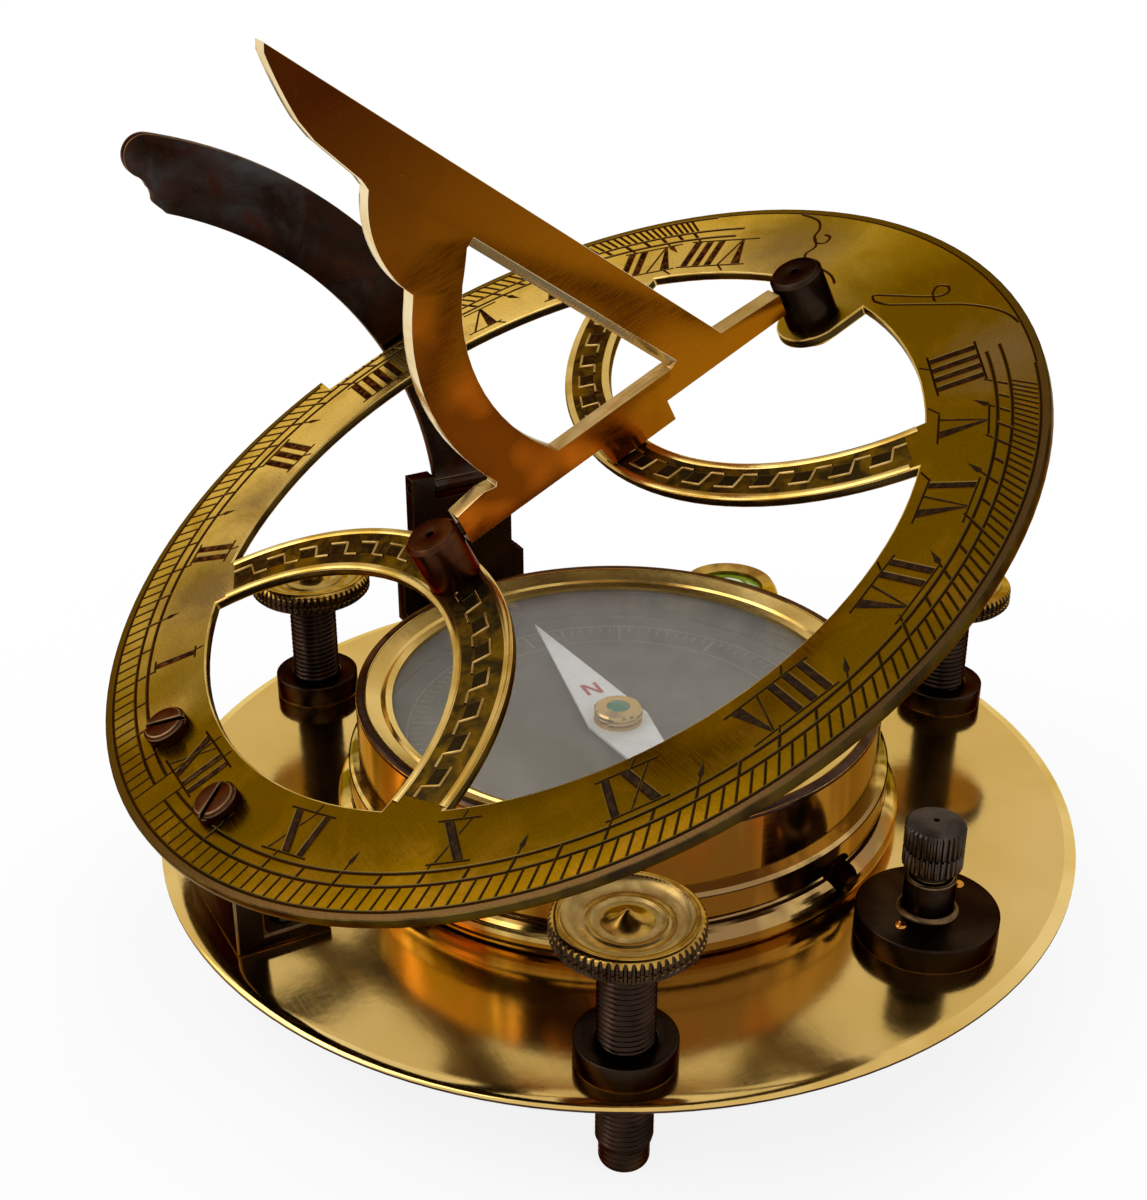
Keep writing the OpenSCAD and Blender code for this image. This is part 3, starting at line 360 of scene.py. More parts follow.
CHANNEL = channel_finish()
ARC_BRONZE = arc_finish()
EDGE_BRASS = metal("brass_edge", {
    "bright": (0.66, 0.45, 0.15), "deep": (0.40, 0.23, 0.04), "spot": (0.16, 0.08, 0.02),
    "edge": (0.95, 0.8, 0.5), "rough": (0.14, 0.28), "patch": 0.12, "spots": 0.3, "scratch": 0.6,
}, DIAL)
KEY = metal("brass_key", {
    "bright": (0.42, 0.27, 0.09), "deep": (0.22, 0.12, 0.025), "spot": (0.06, 0.03, 0.01),
    "edge": (0.9, 0.75, 0.5), "rough": (0.16, 0.32), "patch": 0.2, "spots": 0.4, "scratch": 0.6,
}, DIAL)


def rim_finish():
    """The dial's edge and underside, brown with fine streaks along the edge."""
    f = Finish("brass_dial_side", DIAL)
    tone = f.mix(f.map(f.noise(0.15, 4), 0.4, 0.62), (0.062, 0.038, 0.008), (0.022, 0.013, 0.006))
    streak = f.noise(1.0, 3, stretch=(0.2, 0.2, 6.0))
    return f.finish(tone, 1.0, f.map(streak, 0.3, 0.7, 0.20, 0.36), f.bump(streak, 0.03, 0.6),
                    Specular_Tint=(0.6, 0.45, 0.3, 1))


RIM_BRASS = rim_finish()


def painted(name, colour, worn, rough):
    """Paint with worn patches."""
    f = Finish(name)
    tone = f.mix(f.map(f.noise(0.5, 5, 0.7), 0.45, 0.75, 0, 0.6), colour, worn)
    return f.finish(tone, 0.0, f.map(f.noise(1.5, 4), 0.3, 0.7, rough - 0.08, rough + 0.08),
                    f.bump(f.noise(3.0, 3), 0.01, 0.5))


ENAMEL = painted("needle_enamel", (0.86, 0.86, 0.82), (0.72, 0.70, 0.64), 0.35)
RED = painted("needle_red", (0.45, 0.012, 0.02), (0.30, 0.02, 0.02), 0.4)
INK = painted("card_print", (0.20, 0.165, 0.10), (0.10, 0.085, 0.06), 0.5)


def card_finish():
    """The compass card, with a painted sheen that makes it paler to the south east."""
    f = Finish("card", PLATE)
    x, y, _ = f.split()
    # Painted sheen: paler to the south east.
    east = f.math("ADD", f.math("SUBTRACT", x, y), f.math("MULTIPLY", f.noise(0.07, 3, 0.5, warp=1.0), 30.0))
    tone = f.mix(f.map(east, -25, 30), (0.060, 0.053, 0.045), (0.125, 0.103, 0.066))
    return f.finish(tone, 0.0, f.map(f.noise(0.6, 4), 0.3, 0.7, 0.35, 0.5),
                    f.bump(f.noise(0.4, 2), 0.003, 0.4), Specular_IOR_Level=0.1)


def clear_finish(name, colour, alpha, rough):
    """A clear sheet that is seen through, with uneven dust on it."""
    f = Finish(name)
    dust = f.map(f.noise(0.25, 6, 0.7), 0.35, 0.75, alpha * 0.8, min(1.0, alpha * 1.3))
    made = f.finish(colour, 0.0, f.map(f.noise(0.9, 4), 0.3, 0.7, rough, rough + 0.04),
                    f.bump(f.noise(0.2, 2), 0.01, 0.4), Specular_IOR_Level=0.25)
    f.put(f.shader.inputs["Alpha"], dust)
    made.surface_render_method = "BLENDED"
    return made


def liquid_finish():
    """The green liquid of the level, darker towards its wall."""
    f = Finish("level_liquid", LEVEL)
    from_middle = f.math("ADD", f.radius(), f.math("MULTIPLY", f.noise(0.4, 3), 2.0))
    tone = f.mix(f.map(from_middle, 1.5, 6.5), (0.34, 0.50, 0.02), (0.10, 0.17, 0.006))
    roughness = f.map(f.noise(0.7, 3), 0.3, 0.7, 0.06, 0.12)
    return f.finish(tone, 0.0, roughness, f.bump(f.noise(0.5, 2), 0.01, 0.4))


CARD = card_finish()
GLASS = clear_finish("window_glass", (0.46, 0.43, 0.37), 0.18, 0.03)
LIQUID = liquid_finish()
JEWEL = painted("jewel_green", (0.002, 0.15, 0.06), (0.02, 0.30, 0.13), 0.15)


# Shapes

def piece(name, verts, faces, finish, body, axes, angle=35, slot=None, deep=None):
    """A mesh piece from points in millimetres in the given axes, riding on a body."""
    mesh = bpy.data.meshes.new(name)
    mesh.from_pydata([(axes @ Vector(v)) * MM for v in verts], [], faces)
    mesh.materials.append(finish)
    mesh.polygons.foreach_set("use_smooth", [True] * len(mesh.polygons))
    if deep:
        mesh.attributes.new("deep", "FLOAT", "POINT").data.foreach_set("value", deep)
    mesh.update()
    if angle is not None:
        mesh.set_sharp_from_angle(angle=math.radians(angle))
    made = bpy.data.objects.new(name, mesh)
    bpy.context.scene.collection.objects.link(made)
    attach(made, body)
    return made


def lathe(profile, segments):
    """Points and faces of a profile of (radius, height) turned round Z."""
    verts, faces = [], []
    rows = len(profile)
    for i in range(segments):
        a = math.tau * i / segments
        verts += [(r * math.cos(a), r * math.sin(a), z) for r, z in profile]
    for i in range(segments):
        here, beyond = i * rows, (i + 1) % segments * rows
        faces += [(here + k, beyond + k, beyond + k + 1, here + k + 1) for k in range(rows - 1)]
    return verts, faces


def turned(name, profile, finish, body, axes, segments):
    """A turned piece. Points on its axis are joined."""
    made = piece(name, *lathe(profile, segments), finish, body, axes)
    shape = bmesh.new()
    shape.from_mesh(made.data)
    bmesh.ops.remove_doubles(shape, verts=shape.verts, dist=1e-7)
    shape.to_mesh(made.data)
    shape.free()
    made.data.set_sharp_from_angle(angle=math.radians(35))


SHARP = math.radians(32)


def softened(node, width, finishes, body, choose=None, trim=None):
    """The node's own shape with its sharp edges rounded.

    Given a face's normal and place, choose says which finish it has. The last finish goes on the rounding,
    unless trim says another for its place.
    """
    source = frame["nodes"][node].data
    shape = bmesh.new()
    shape.from_mesh(source)
    for layer in list(shape.loops.layers.uv):
        shape.loops.layers.uv.remove(layer)
    bmesh.ops.remove_doubles(shape, verts=shape.verts, dist=2e-6)
    bmesh.ops.dissolve_degenerate(shape, edges=shape.edges, dist=1e-6)
    bmesh.ops.dissolve_limit(shape, angle_limit=math.radians(0.4), verts=shape.verts, edges=shape.edges)
    for face in shape.faces:
        face.material_index = choose(face.normal, face.calc_center_median() / MM) if choose else 0
    sharp = [e for e in shape.edges if len(e.link_faces) == 2 and e.calc_face_angle(0) > SHARP]
    if width:
        bmesh.ops.bevel(shape, geom=sharp, offset=width * MM, offset_type="OFFSET", segments=2,
                        profile=0.5, affect="EDGES", clamp_overlap=True, material=len(finishes) - 1)
    if trim:
        for face in shape.faces:
            if face.material_index == len(finishes) - 1:
                face.material_index = trim(face.calc_center_median() / MM)
    bmesh.ops.triangulate(shape, faces=[f for f in shape.faces if len(f.verts) > 4])
    mesh = bpy.data.meshes.new(node + "_soft")
    shape.to_mesh(mesh)
    shape.free()
    for m in finishes:
        mesh.materials.append(m)
    mesh.polygons.foreach_set("use_smooth", [True] * len(mesh.polygons))
    mesh.set_sharp_from_angle(angle=math.radians(30))
    made = bpy.data.objects.new(node + "_soft", mesh)
    bpy.context.scene.collection.objects.link(made)
    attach(made, body)
    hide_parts(node)


def dress(node, finish):
    """Gives a CAD node its finish and keeps its shape."""
    mesh = frame["nodes"][node].data
    mesh.materials.clear()
    mesh.materials.append(finish)


class Engraving:
    """Flat marks in a plane, each with a border and a deeper middle."""

    def __init__(self, level):
        self.verts, self.faces, self.deep, self.level = [], [], [], level

    def height(self):
        """Marks that cross lie at slightly different heights."""
        return self.level + 0.0004 * (len(self.faces) % 9)

    def area(self, points, inset):
        """A convex outline, with its middle set in from its border."""
        turn = sum(a[0] * b[1] - b[0] * a[1] for a, b in zip(points, points[1:] + points[:1]))
        points = [Vector(p) for p in (points if turn > 0 else points[::-1])]
        count, z, base = len(points), self.height(), len(self.verts)
        inner = []
        for i, p in enumerate(points):
            a = (p - points[i - 1]).normalized()
            b = (points[(i + 1) % count] - p).normalized()
            na, nb = Vector((-a.y, a.x)), Vector((-b.y, b.x))
            inner.append(p + (na + nb) * (inset / max(0.35, 1 + na.dot(nb))))
        self.verts += [(p.x, p.y, z) for p in points + inner]
        self.deep += [0.0] * count + [1.0] * count
        for i in range(count):
            j = (i + 1) % count
            self.faces.append((base + i, base + j, base + count + j, base + count + i))
        self.faces.append(tuple(base + count + i for i in range(count)))

    def line(self, points, width, closed=False):
        """A cut of some width along a path."""
        points = [Vector(p) for p in points]
        count, z, base = len(points), self.height(), len(self.verts)
        for i, p in enumerate(points):
            before = points[i - 1] if i or closed else p
            after = points[(i + 1) % count] if i < count - 1 or closed else p
            way = (after - before).normalized()
            across = Vector((-way.y, way.x)) * (width / 2)
            for q, d in ((p - across, 0.0), (p, 1.0), (p + across, 0.0)):
                self.verts.append((q.x, q.y, z))
                self.deep.append(d)
        for i in range(count if closed else count - 1):
            a, b = base + 3 * i, base + 3 * ((i + 1) % count)
            self.faces += [(a, b, b + 1, a + 1), (a + 1, b + 1, b + 2, a + 2)]

    def build(self, name, finish, body, axes):
        piece(name, self.verts, self.faces, finish, body, axes, angle=None, deep=self.deep)


def bead(name, path, width, height, finish, body, axes, base=0.0):
    """A raised half-round strip along a path of (x, y), standing on the plane at base."""
    verts, faces, rows = [], [], 5
    for i, p in enumerate(path):
        way = (path[min(i + 1, len(path) - 1)] - path[max(i - 1, 0)]).normalized()
        across = Vector((-way.y, way.x))
        for k in range(rows):
            a = math.pi * k / (rows - 1)
            q = p + across * (width / 2 * math.cos(a))
            verts.append((q.x, q.y, base + height * math.sin(a) ** 0.7))
    for i in range(len(path) - 1):
        a, b = rows * i, rows * (i + 1)
        faces += [(a + k, a + k + 1, b + k + 1, b + k) for k in range(rows - 1)]
    piece(name, verts, faces, finish, body, axes, angle=60)


# Dial

def on_ring(r, angle):
    """A point of the dial at a radius and an angle from south, east positive."""
    a = math.radians(angle)
    return Vector((r * math.sin(a), -r * math.cos(a)))


# The hour lines meet on two centres, half the gnomon's thickness and a margin off the noon line.
# HOUR_TURN is the angle in degrees from each to the next.
NOON_GAP = 1.95
HOUR_CENTRE = 38.4
HOUR_TURN = 0.885 * 15
LAST_HOUR = 8.2

# Radii of the bands of the scale.
INNER_TICK = (49.8, 51.2)
NUMERAL_FOOT = 57.0
HOUR_TICK = (56.8, 58.0)
HALF_HOUR_LEAF = (55.0, 57.3)
QUARTERS = (57.9, 59.8)
MINUTES = (60.0, 62.9)
BORDER = 63.05


def hour_ray(hour, side):
    """Start and direction of the line of an hour before or after noon."""
    a = math.radians(HOUR_TURN * hour)
    return Vector((side * NOON_GAP, HOUR_CENTRE)), Vector((side * math.sin(a), -math.cos(a)))


def on_hour(hour, side, r):
    """Where an hour's line crosses the circle of radius r."""
    start, way = hour_ray(hour, side)
    b = start.dot(way)
    return start + way * (-b + math.sqrt(b * b - start.dot(start) + r * r))


def angle_of(point):
    return math.degrees(math.atan2(point.x, -point.y))


STROKE, THIN, SERIF, TALL = 1.25, 0.42, 0.32, 6.0
WIDTHS = {"I": 1.25, "V": 4.3, "X": 4.3}


def letter_strokes(letter, at):
    """Strokes of a Roman letter as outlines of (along, up)."""
    if letter == "I":
        return [[(at, 0), (at + STROKE, 0), (at + STROKE, TALL), (at, TALL)]]
    if letter == "V":
        return [[(at + 1.9, 0), (at + 2.3, 0), (at + 1.75, TALL), (at + 0.2, TALL)],
                [(at + 1.95, 0), (at + 2.3, 0), (at + 4.1, TALL), (at + 4.1 - THIN, TALL)]]
    return [[(at + 2.7, 0), (at + 4.2, 0), (at + 1.6, TALL), (at + 0.1, TALL)],
            [(at + 0.2, 0), (at + 0.2 + THIN, 0), (at + 4.0, TALL), (at + 4.0 - THIN, TALL)]]


def numeral(cut, hair, text, angle):
    """A Roman numeral with its head to the middle, and a serif line along its foot and its head."""
    gap, overhang = 0.75, 0.55
    width = sum(WIDTHS[c] for c in text) + gap * (len(text) - 1)
    a = math.radians(angle)
    right, up = Vector((math.cos(a), math.sin(a))), Vector((-math.sin(a), math.cos(a)))
    base = on_ring(NUMERAL_FOOT, angle)

    def place(shift, rise):
        return base + right * shift + up * rise

    at = -width / 2
    for c in text:
        for stroke in letter_strokes(c, at):
            thin = min(abs(stroke[1][0] - stroke[0][0]), abs(stroke[3][0] - stroke[2][0]))
            cut.area([place(*p) for p in stroke], min(0.30, thin * 0.3))
        at += WIDTHS[c] + gap
    for rise in (0.0, TALL):
        hair.line([place(-width / 2 - overhang, rise), place(width / 2 + overhang, rise)], SERIF)


# Scroll lines of the bare field: side, and points as (radius, angle from south).
SCROLLS = (
    (1, ((63.0, 154.5), (62.3, 157.0), (60.9, 159.6), (58.6, 162.6), (56.0, 165.4),
         (53.4, 168.6), (51.6, 171.2), (50.9, 173.6))),
    (1, ((50.9, 173.6), (51.6, 175.0), (53.2, 172.3), (55.3, 168.9), (57.2, 166.7),
         (58.4, 166.6), (58.9, 167.8), (58.0, 168.9), (56.8, 168.0), (56.2, 166.1))),
    (-1, ((63.0, 159.5), (62.0, 162.6), (60.2, 164.2), (58.4, 164.6), (57.2, 165.9),
          (57.5, 167.3), (58.7, 167.2), (59.1, 166.0))),
    (-1, ((58.4, 164.6), (56.4, 166.4), (54.6, 166.0), (53.2, 167.4), (52.6, 170.2),
          (51.8, 174.0), (50.6, 176.5))),
)


def in_notch(point):
    """Whether a point of the dial's plane is in the notch beside the latitude arc's bracket."""
    return point.x < -60.4 and -7.2 < point.y < 19.4


def cut_to_ring(path):
    """The parts of a path that lie outside the notch."""
    runs, run = [], []
    for point in path:
        if in_notch(point):
            runs.append(run)
            run = []
        else:
            run.append(point)
    return [r for r in runs + [run] if len(r) > 1]


def ray_line(hair, hour, side, band, width):
    """A line along an hour's ray through a band of the scale."""
    hair.line([on_hour(hour, side, r) for r in band], width)


def arc_line(hair, r, start, stop, count, width):
    """A line round the ring, left out where the notch is."""
    for run in cut_to_ring([on_ring(r, start + (stop - start) * i / count) for i in range(count + 1)]):
        hair.line(run, width)


def half_hour_leaf(cut, hour, side):
    """A pointed leaf that marks a half hour."""
    tip, foot = (on_hour(hour, side, r) for r in HALF_HOUR_LEAF)
    way = (tip - foot).normalized()
    shoulder = foot + way * 0.8
    across = Vector((-way.y, way.x)) * 0.42
    cut.area([foot, shoulder + across, tip, shoulder - across], 0.12)


def scroll(hair, points):
    """A line that runs smoothly through the points."""
    fine = []
    for i in range(len(points) - 1):
        before, here, beyond = points[max(i - 1, 0)], points[i], points[i + 1]
        after = points[min(i + 2, len(points) - 1)]
        for k in range(6):
            t = k / 6
            fine.append(0.5 * ((2 * here) + (beyond - before) * t
                               + (2 * before - 5 * here + 4 * beyond - after) * t * t
                               + (3 * here - before - 3 * beyond + after) * t ** 3))
    hair.line(fine + [points[-1]], 0.42)


def dial_marks():
    """Numerals, leaves and scale lines, and the border and scrolls of the bare field."""
    cut, hair = Engraving(0.012), Engraving(0.018)
    centres = (25.0, 48.0, 70.0, 89.4, 109.0, 124.0, 138.0, 150.0)
    west = ("I", "II", "III", "IIII", "V", "VI", "VII", "VIII")
    east = ("XI", "X", "IX", "VIII", "VII", "VI", "V", "IIII")
    end = angle_of(on_hour(LAST_HOUR, 1, 58.8))
    for side, names in ((-1, west), (1, east)):
        for name, angle in zip(names, centres):
            numeral(cut, hair, name, side * angle)
        for k in range(1, int(LAST_HOUR * 4) + 1):
            ray_line(hair, k / 4, side, QUARTERS, 0.46)
        for k in range(1, int(LAST_HOUR * 12)):
            low, high = (on_hour(k / 12, side, r) for r in MINUTES)
            for run in cut_to_ring([low + (high - low) * j / 8 for j in range(9)]):
                hair.line([run[0], run[-1]], 0.38)
        for hour in range(1, 9):
            ray_line(hair, hour, side, INNER_TICK, 0.30)
            ray_line(hair, hour, side, HOUR_TICK, 0.30)
            ray_line(hair, hour - 0.5, side, (HOUR_TICK[1], NUMERAL_FOOT), 0.28)
            half_hour_leaf(cut, hour - 0.5, side)
        for r, width, past in ((58.0, 0.55, 5.0), (59.75, 0.5, 5.6)):
            start = math.degrees(math.asin(NOON_GAP / r))
            arc_line(hair, r, side * start, side * (end + past), 90, width)
        hair.line([Vector((side * NOON_GAP, -r)) for r in (INNER_TICK[0], 62.8)], 0.34)
        arc_line(hair, BORDER, 3 * side, side * end, 180, 0.5)
    arc_line(hair, BORDER, -3, 3, 8, 0.5)
    numeral(cut, hair, "XII", 0.0)
    arc_line(hair, BORDER + 0.15, end, 360 - end, 60, 0.28)
    for side, path in SCROLLS:
        scroll(hair, [on_ring(r, side * a) for r, a in path])
    cut.build("dial_numerals", CUT, "dial", DIAL)
    hair.build("dial_scale_lines", HAIR, "dial", DIAL)


# Each arch: tag, side it bulges to, and centre and radius of its inner edge and of its outer edge.
ARCHES = (("south", 1, (-49.0, 30.0), (-49.0, 37.8)), ("north", -1, (49.5, 33.6), (52.2, 42.3)))


def arch_path(arch, inset, reach):
    """A path along an arch, inset as a share of its width from the inner edge, within a radius."""
    _, way, inner, outer = arch
    centre, r = (a + (b - a) * inset for a, b in zip(inner, outer))
    path = []
    for i in range(81):
        a = math.radians(-90 + 180 * i / 80)
        path.append(Vector((r * math.sin(a), centre + way * r * math.cos(a))))
    return [p for p in path if p.length < reach]


def along(path, distance):
    """A point and direction at a distance along a path."""
    for a, b in zip(path, path[1:]):
        step = (b - a).length
        if distance <= step:
            return a + (b - a) * (distance / step), (b - a) / step
        distance -= step
    return path[-1], (path[-1] - path[-2]).normalized()


def path_length(path):
    return sum((b - a).length for a, b in zip(path, path[1:]))


def beside(path, distance, offset):
    """A point at a distance along a path and an offset to its left."""
    point, way = along(path, distance)
    return point + Vector((-way.y, way.x)) * offset


# One period of the key: its length, the corners of its dark field of painted shade, and the corners of its
# line, as (share, offset).
KEY_STEP = 5.0
KEY_FIELD = ((0.10, -0.95), (0.60, -0.95), (0.55, 0.85), (0.04, 0.85))
KEY_LINE = ((0.02, 1.1), (0.54, 1.1), (0.66, -1.15), (1.08, -1.15))


def key_channel(name, middle, length):
    """The sunk band. The north one widens to both ends."""
    verts, count = [], 60
    for i in range(count + 1):
        half = 2.75 if name == "south" else 2.35 + 0.9 * abs(2 * i / count - 1)
        verts += [(*beside(middle, length * i / count, side), 0.012) for side in (-half, half)]
    faces = [(2 * i, 2 * i + 1, 2 * i + 3, 2 * i + 2) for i in range(count)]
    piece("key_channel_" + name, verts, faces, CHANNEL, "dial", DIAL, angle=None)


def dial_arches():
    """A sunk band on each arch with gold borders and a stepped key between them."""
    for arch in ARCHES:
        name, turn = arch[:2]
        middle = arch_path(arch, 0.5, 48.4)
        length = path_length(middle)
        key_channel(name, middle, length)
        for share, tag in ((0.075, "inner"), (0.925, "outer")):
            border = arch_path(arch, share, 48.9)
            bead(f"key_border_{name}_{tag}", border, 1.05, 0.16, EDGE_BRASS, "dial", DIAL)
        steps = round(length / KEY_STEP)
        period = length / steps
        # Painted shade: a dark field at each step of the key.
        shade = Engraving(0.016)
        for k in range(steps):
            shade.area([beside(middle, (k + s) * period, t * turn) for s, t in KEY_FIELD], 0.12)
            corners = [beside(middle, min((k + s) * period, length), t * turn) for s, t in KEY_LINE]
            path = [a + (b - a) * j / 5 for a, b in zip(corners, corners[1:]) for j in range(5)]
            bead(f"key_{name}_{k}", path + [corners[-1]], 0.36, 0.20, KEY, "dial", DIAL, base=0.02)
        shade.build("key_shade_" + name, HAIR, "dial", DIAL)


def dial_choose(normal, centre):
    """The top is satin, and all else has the finish of the side."""
    return 0 if (DIAL.to_3x3().inverted() @ normal).z > 0.9 else 1


def dial_trim(centre):
    """The outer edge is dark, and the other edges are bright."""
    return 1 if (DIAL.inverted() @ centre).to_2d().length > 63 else 2


softened("dial_ring", 0.22, [DIAL_BRASS, RIM_BRASS, EDGE_BRASS], "dial", dial_choose, dial_trim)
dial_marks()
dial_arches()


# Gnomon, latitude arc and hinge

def blade_choose(normal, centre):
    """Flat faces are polished brown, the lobed back is filed bright, and the rest is satin."""
    local = DIAL.to_3x3().inverted() @ normal
    if abs(normal.x) > 0.9:
        return 0
    return 1 if local.y < -0.2 and (DIAL.inverted() @ centre).z > 10 else 2


def blade_trim(centre):
    """Edges are satin near the dial and at the north end, and filed elsewhere."""
    local = DIAL.inverted() @ centre
    return 2 if local.y > 24 or local.z < 8 else 1


softened("gnomon_plate", 0.3, [BLADE, FILED, SATIN, FILED], "gnomon", blade_choose, blade_trim)
softened("latitude_arc", 0.2, [ARC_BRONZE, ARC_BRONZE, WORN], "arc")
softened("arc_bracket", 0.3, [BRONZE, WORN], "base")
softened("hinge_block", 0.3, [BRONZE, WORN], "base")
for side in (1, 2):
    softened(f"hinge_knuckle_{side}", 0.3, [BRONZE, WORN], "dial")
    softened(f"hinge_screw_{side}", 0.12, [BROWN, WORN], "dial")
softened("gnomon_post_south", 0.2, [BROWN, WORN], "dial")
softened("gnomon_post_north", 0.2, [BRONZE, WORN], "dial")
softened("post_nut", 0.25, [BRONZE, PALE], "dial")
for node in ("hinge_pin", "arc_pin", "gnomon_pin_south", "gnomon_pin_north"):
    dress(node, BRONZE)


# Plate, case and compass

ROLLED_R = 61.6


def plate_choose(normal, centre):
    """The side and the underside are dark, with a painted dark reflection on the side; the rolled rim is
    bright, a painted highlight; and the rest is polished.
    """
    if normal.z < 0.35:
        return 1
    return 2 if (centre - PLATE.translation).to_2d().length > ROLLED_R else 0


softened("base_plate", 0.0, [GOLD, PATINA_AND_PAINTED_REFLECTION, ROLL_HIGHLIGHT], "base", plate_choose)
dress("case_foot", DRUM)
dress("case_wall", DRUM)
dress("case_lock_screw", KNURL)
dress("needle_pivot", PALE)
dress("case_glass", GLASS)
dress("compass_card", CARD)
dress("needle_blade", ENAMEL)
dress("needle_jewel", JEWEL)
dress("level_lens", LIQUID)
dress("needle_cap", GOLD)
dress("level_case", RIM)
dress("case_bezel", PALE)

RIM_PROFILE = [(34.75, 18.4), (34.8, 18.42), (35.7, 18.42), (35.95, 18.25), (36.02, 17.9), (36.02, 17.6)]
turned("case_rim_patina", RIM_PROFILE, PATINA_AND_PAINTED_REFLECTION, "base", PLATE, 160)
turned("case_band_seam", [(37.42, 8.45), (37.45, 8.55), (37.42, 8.65)], PATINA_AND_PAINTED_REFLECTION, "base", PLATE, 160)
turned("case_cove_patina", [(36.72, 4.6), (36.9, 5.0), (37.44, 5.3)], PATINA_AND_PAINTED_REFLECTION, "base", PLATE, 160)


CARD_TOP = 11.2
NEEDLE_TOP = 12.3


def card_marks():
    """A ring of fine ticks, every tenth one longer and bolder, between two circles."""
    marks = Engraving(0.02)
    for k in range(120):
        a = math.radians(3 * k)
        way = Vector((math.cos(a), math.sin(a)))
        start, width = (25.2, 0.35) if k % 10 == 0 else (27.2, 0.22)
        marks.line([way * start, way * 28.8], width)
    for r, width in ((29.3, 0.3), (24.6, 0.2)):
        around = [math.tau * i / 96 for i in range(96)]
        marks.line([Vector((r * math.cos(a), r * math.sin(a))) for a in around], width, closed=True)
    marks.build("card_print", INK, "base", PLATE @ Matrix.Translation((0, 0, CARD_TOP)))


card_marks()


def needle_letter():
    """The letter N across the north arm of the needle, in red."""
    mark = Engraving(0.03)
    from_pivot, tall, half, stroke = 7.5, 3.1, 1.25, 0.55
    slant = stroke * 1.2
    for outline in (
        [(-half, 0), (-half + stroke, 0), (-half + stroke, tall), (-half, tall)],
        [(half - stroke, 0), (half, 0), (half, tall), (half - stroke, tall)],
        [(half - slant, 0), (half, 0), (-half + slant, tall), (-half, tall)],
    ):
        mark.area([Vector((from_pivot + v, -u)) for u, v in outline], 0.1)
    mark.build("needle_letter", RED, "needle", NEEDLE @ Matrix.Translation((0, 0, NEEDLE_TOP)))


needle_letter()

turned("level_ring", [(2.9, 8.82), (3.0, 8.87), (3.1, 8.82)], BRONZE, "base", LEVEL, 48)
BUBBLE = clear_finish("bubble", (0.75, 0.85, 0.5), 0.7, 0.03)
turned("level_bubble", [(0.0, 8.90), (1.0, 8.87), (1.9, 8.80), (2.2, 8.73)], BUBBLE, "base",
       LEVEL @ Matrix.Translation((-0.8, 0.6, 0)), 32)


# Levelling screws and needle lock

CONE_R, DISH_R = 3.15, 7.5


def head_choose(screw):
    """Cone and rim are golden, the dish between them is duller, and the teeth are dark."""
    def choose(normal, centre):
        r = (screw.inverted() @ centre).to_2d().length
        if r < CONE_R:
            return 1
        if r < DISH_R:
            return 2
        return 1 if normal.z > 0.3 else 0
    return choose


ROD_R, ROD_HIGH = 3.5, 32.7
PITCH, THREAD_DEPTH = 0.75, 0.28
POINT_R, POINT_HIGH, POINT_ROUND = 3.1, 3.4, 0.9


def rod_radius(z, turn):
    """Radius of the threaded rod at a height and a share of a turn, with its crest at ROD_R."""
    groove = THREAD_DEPTH * abs(2 * ((z / PITCH - turn) % 1.0) - 1) ** 1.3
    ease = min(1.0, (ROD_HIGH - z) / PITCH, z / PITCH + 0.2)
    r = min(ROD_R - groove * max(0.0, ease),
            POINT_R - 0.3 * max(0.0, groove - 0.1) + max(0.0, z - POINT_HIGH))
    if z < POINT_ROUND:
        r = min(r, POINT_R - POINT_ROUND + math.sqrt(POINT_ROUND ** 2 - (POINT_ROUND - z) ** 2))
    return r


def thread(name, body, axes):
    """A levelling screw's threaded rod with its plain point."""
    verts, faces, around = [], [], 40
    levels = int(ROD_HIGH / PITCH * 7)
    for k in range(levels + 1):
        z = ROD_HIGH * k / levels
        for i in range(around):
            a, r = math.tau * i / around, rod_radius(z, i / around)
            verts.append((r * math.cos(a), r * math.sin(a), z))
    for k in range(levels):
        low, high = k * around, (k + 1) * around
        faces += [(low + i, low + (i + 1) % around, high + (i + 1) % around, high + i) for i in range(around)]
    faces.append(tuple(range(around))[::-1])
    faces.append(tuple(levels * around + i for i in range(around)))
    return piece(name, verts, faces, THREAD, body, axes, angle=50, slot="dark_bronze")


THREAD = metal("thread_dark", {
    "bright": (0.034, 0.019, 0.013), "deep": (0.016, 0.010, 0.007), "spot": (0.16, 0.10, 0.05),
    "edge": (0.4, 0.3, 0.22), "rough": (0.22, 0.36), "patch": 0.2, "spots": 0.5, "scratch": 0.8,
})

for i, screw in enumerate(SCREWS):
    body = f"levelling_{i + 1}"
    head = [KNURL, RIM, DISH, EDGE_BRASS]
    softened(f"levelling_head_{i + 1}", 0.14, head, body, head_choose(screw))
    rod = thread(f"levelling_thread_{i + 1}", body, screw)
    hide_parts(f"levelling_rod_{i + 1}")
    softened(f"levelling_bush_{i + 1}", 0.15, [BRONZE, WORN], "base")

STEM_FLANGE_TOP = 21.2


def stem_choose(normal, centre):
    """The top of the flange at the stem's foot is worn."""
    return 1 if normal.z > 0.2 and centre.z < STEM_FLANGE_TOP else 0


softened("lock_foot", 0.1, [BRONZE, WORN], "base")
softened("lock_stem", 0.1, [BRONZE, WORN], "base", stem_choose)
softened("lock_knob", 0.12, [KNOB, WORN], "needle_lock")
turned("lock_fillet", [(3.26, 3.75), (3.34, 3.58), (3.5, 3.46), (3.72, 3.42)], ORANGE, "base", LOCK, 48)


def domed_head(name, axes, r, rise, finish):
    """A rivet's or a screw's domed head on the base."""
    angles = [math.radians(a) for a in range(0, 91, 15)]
    turned(name, [(r * math.sin(a), rise * math.cos(a)) for a in angles], finish, "base", axes, 32)


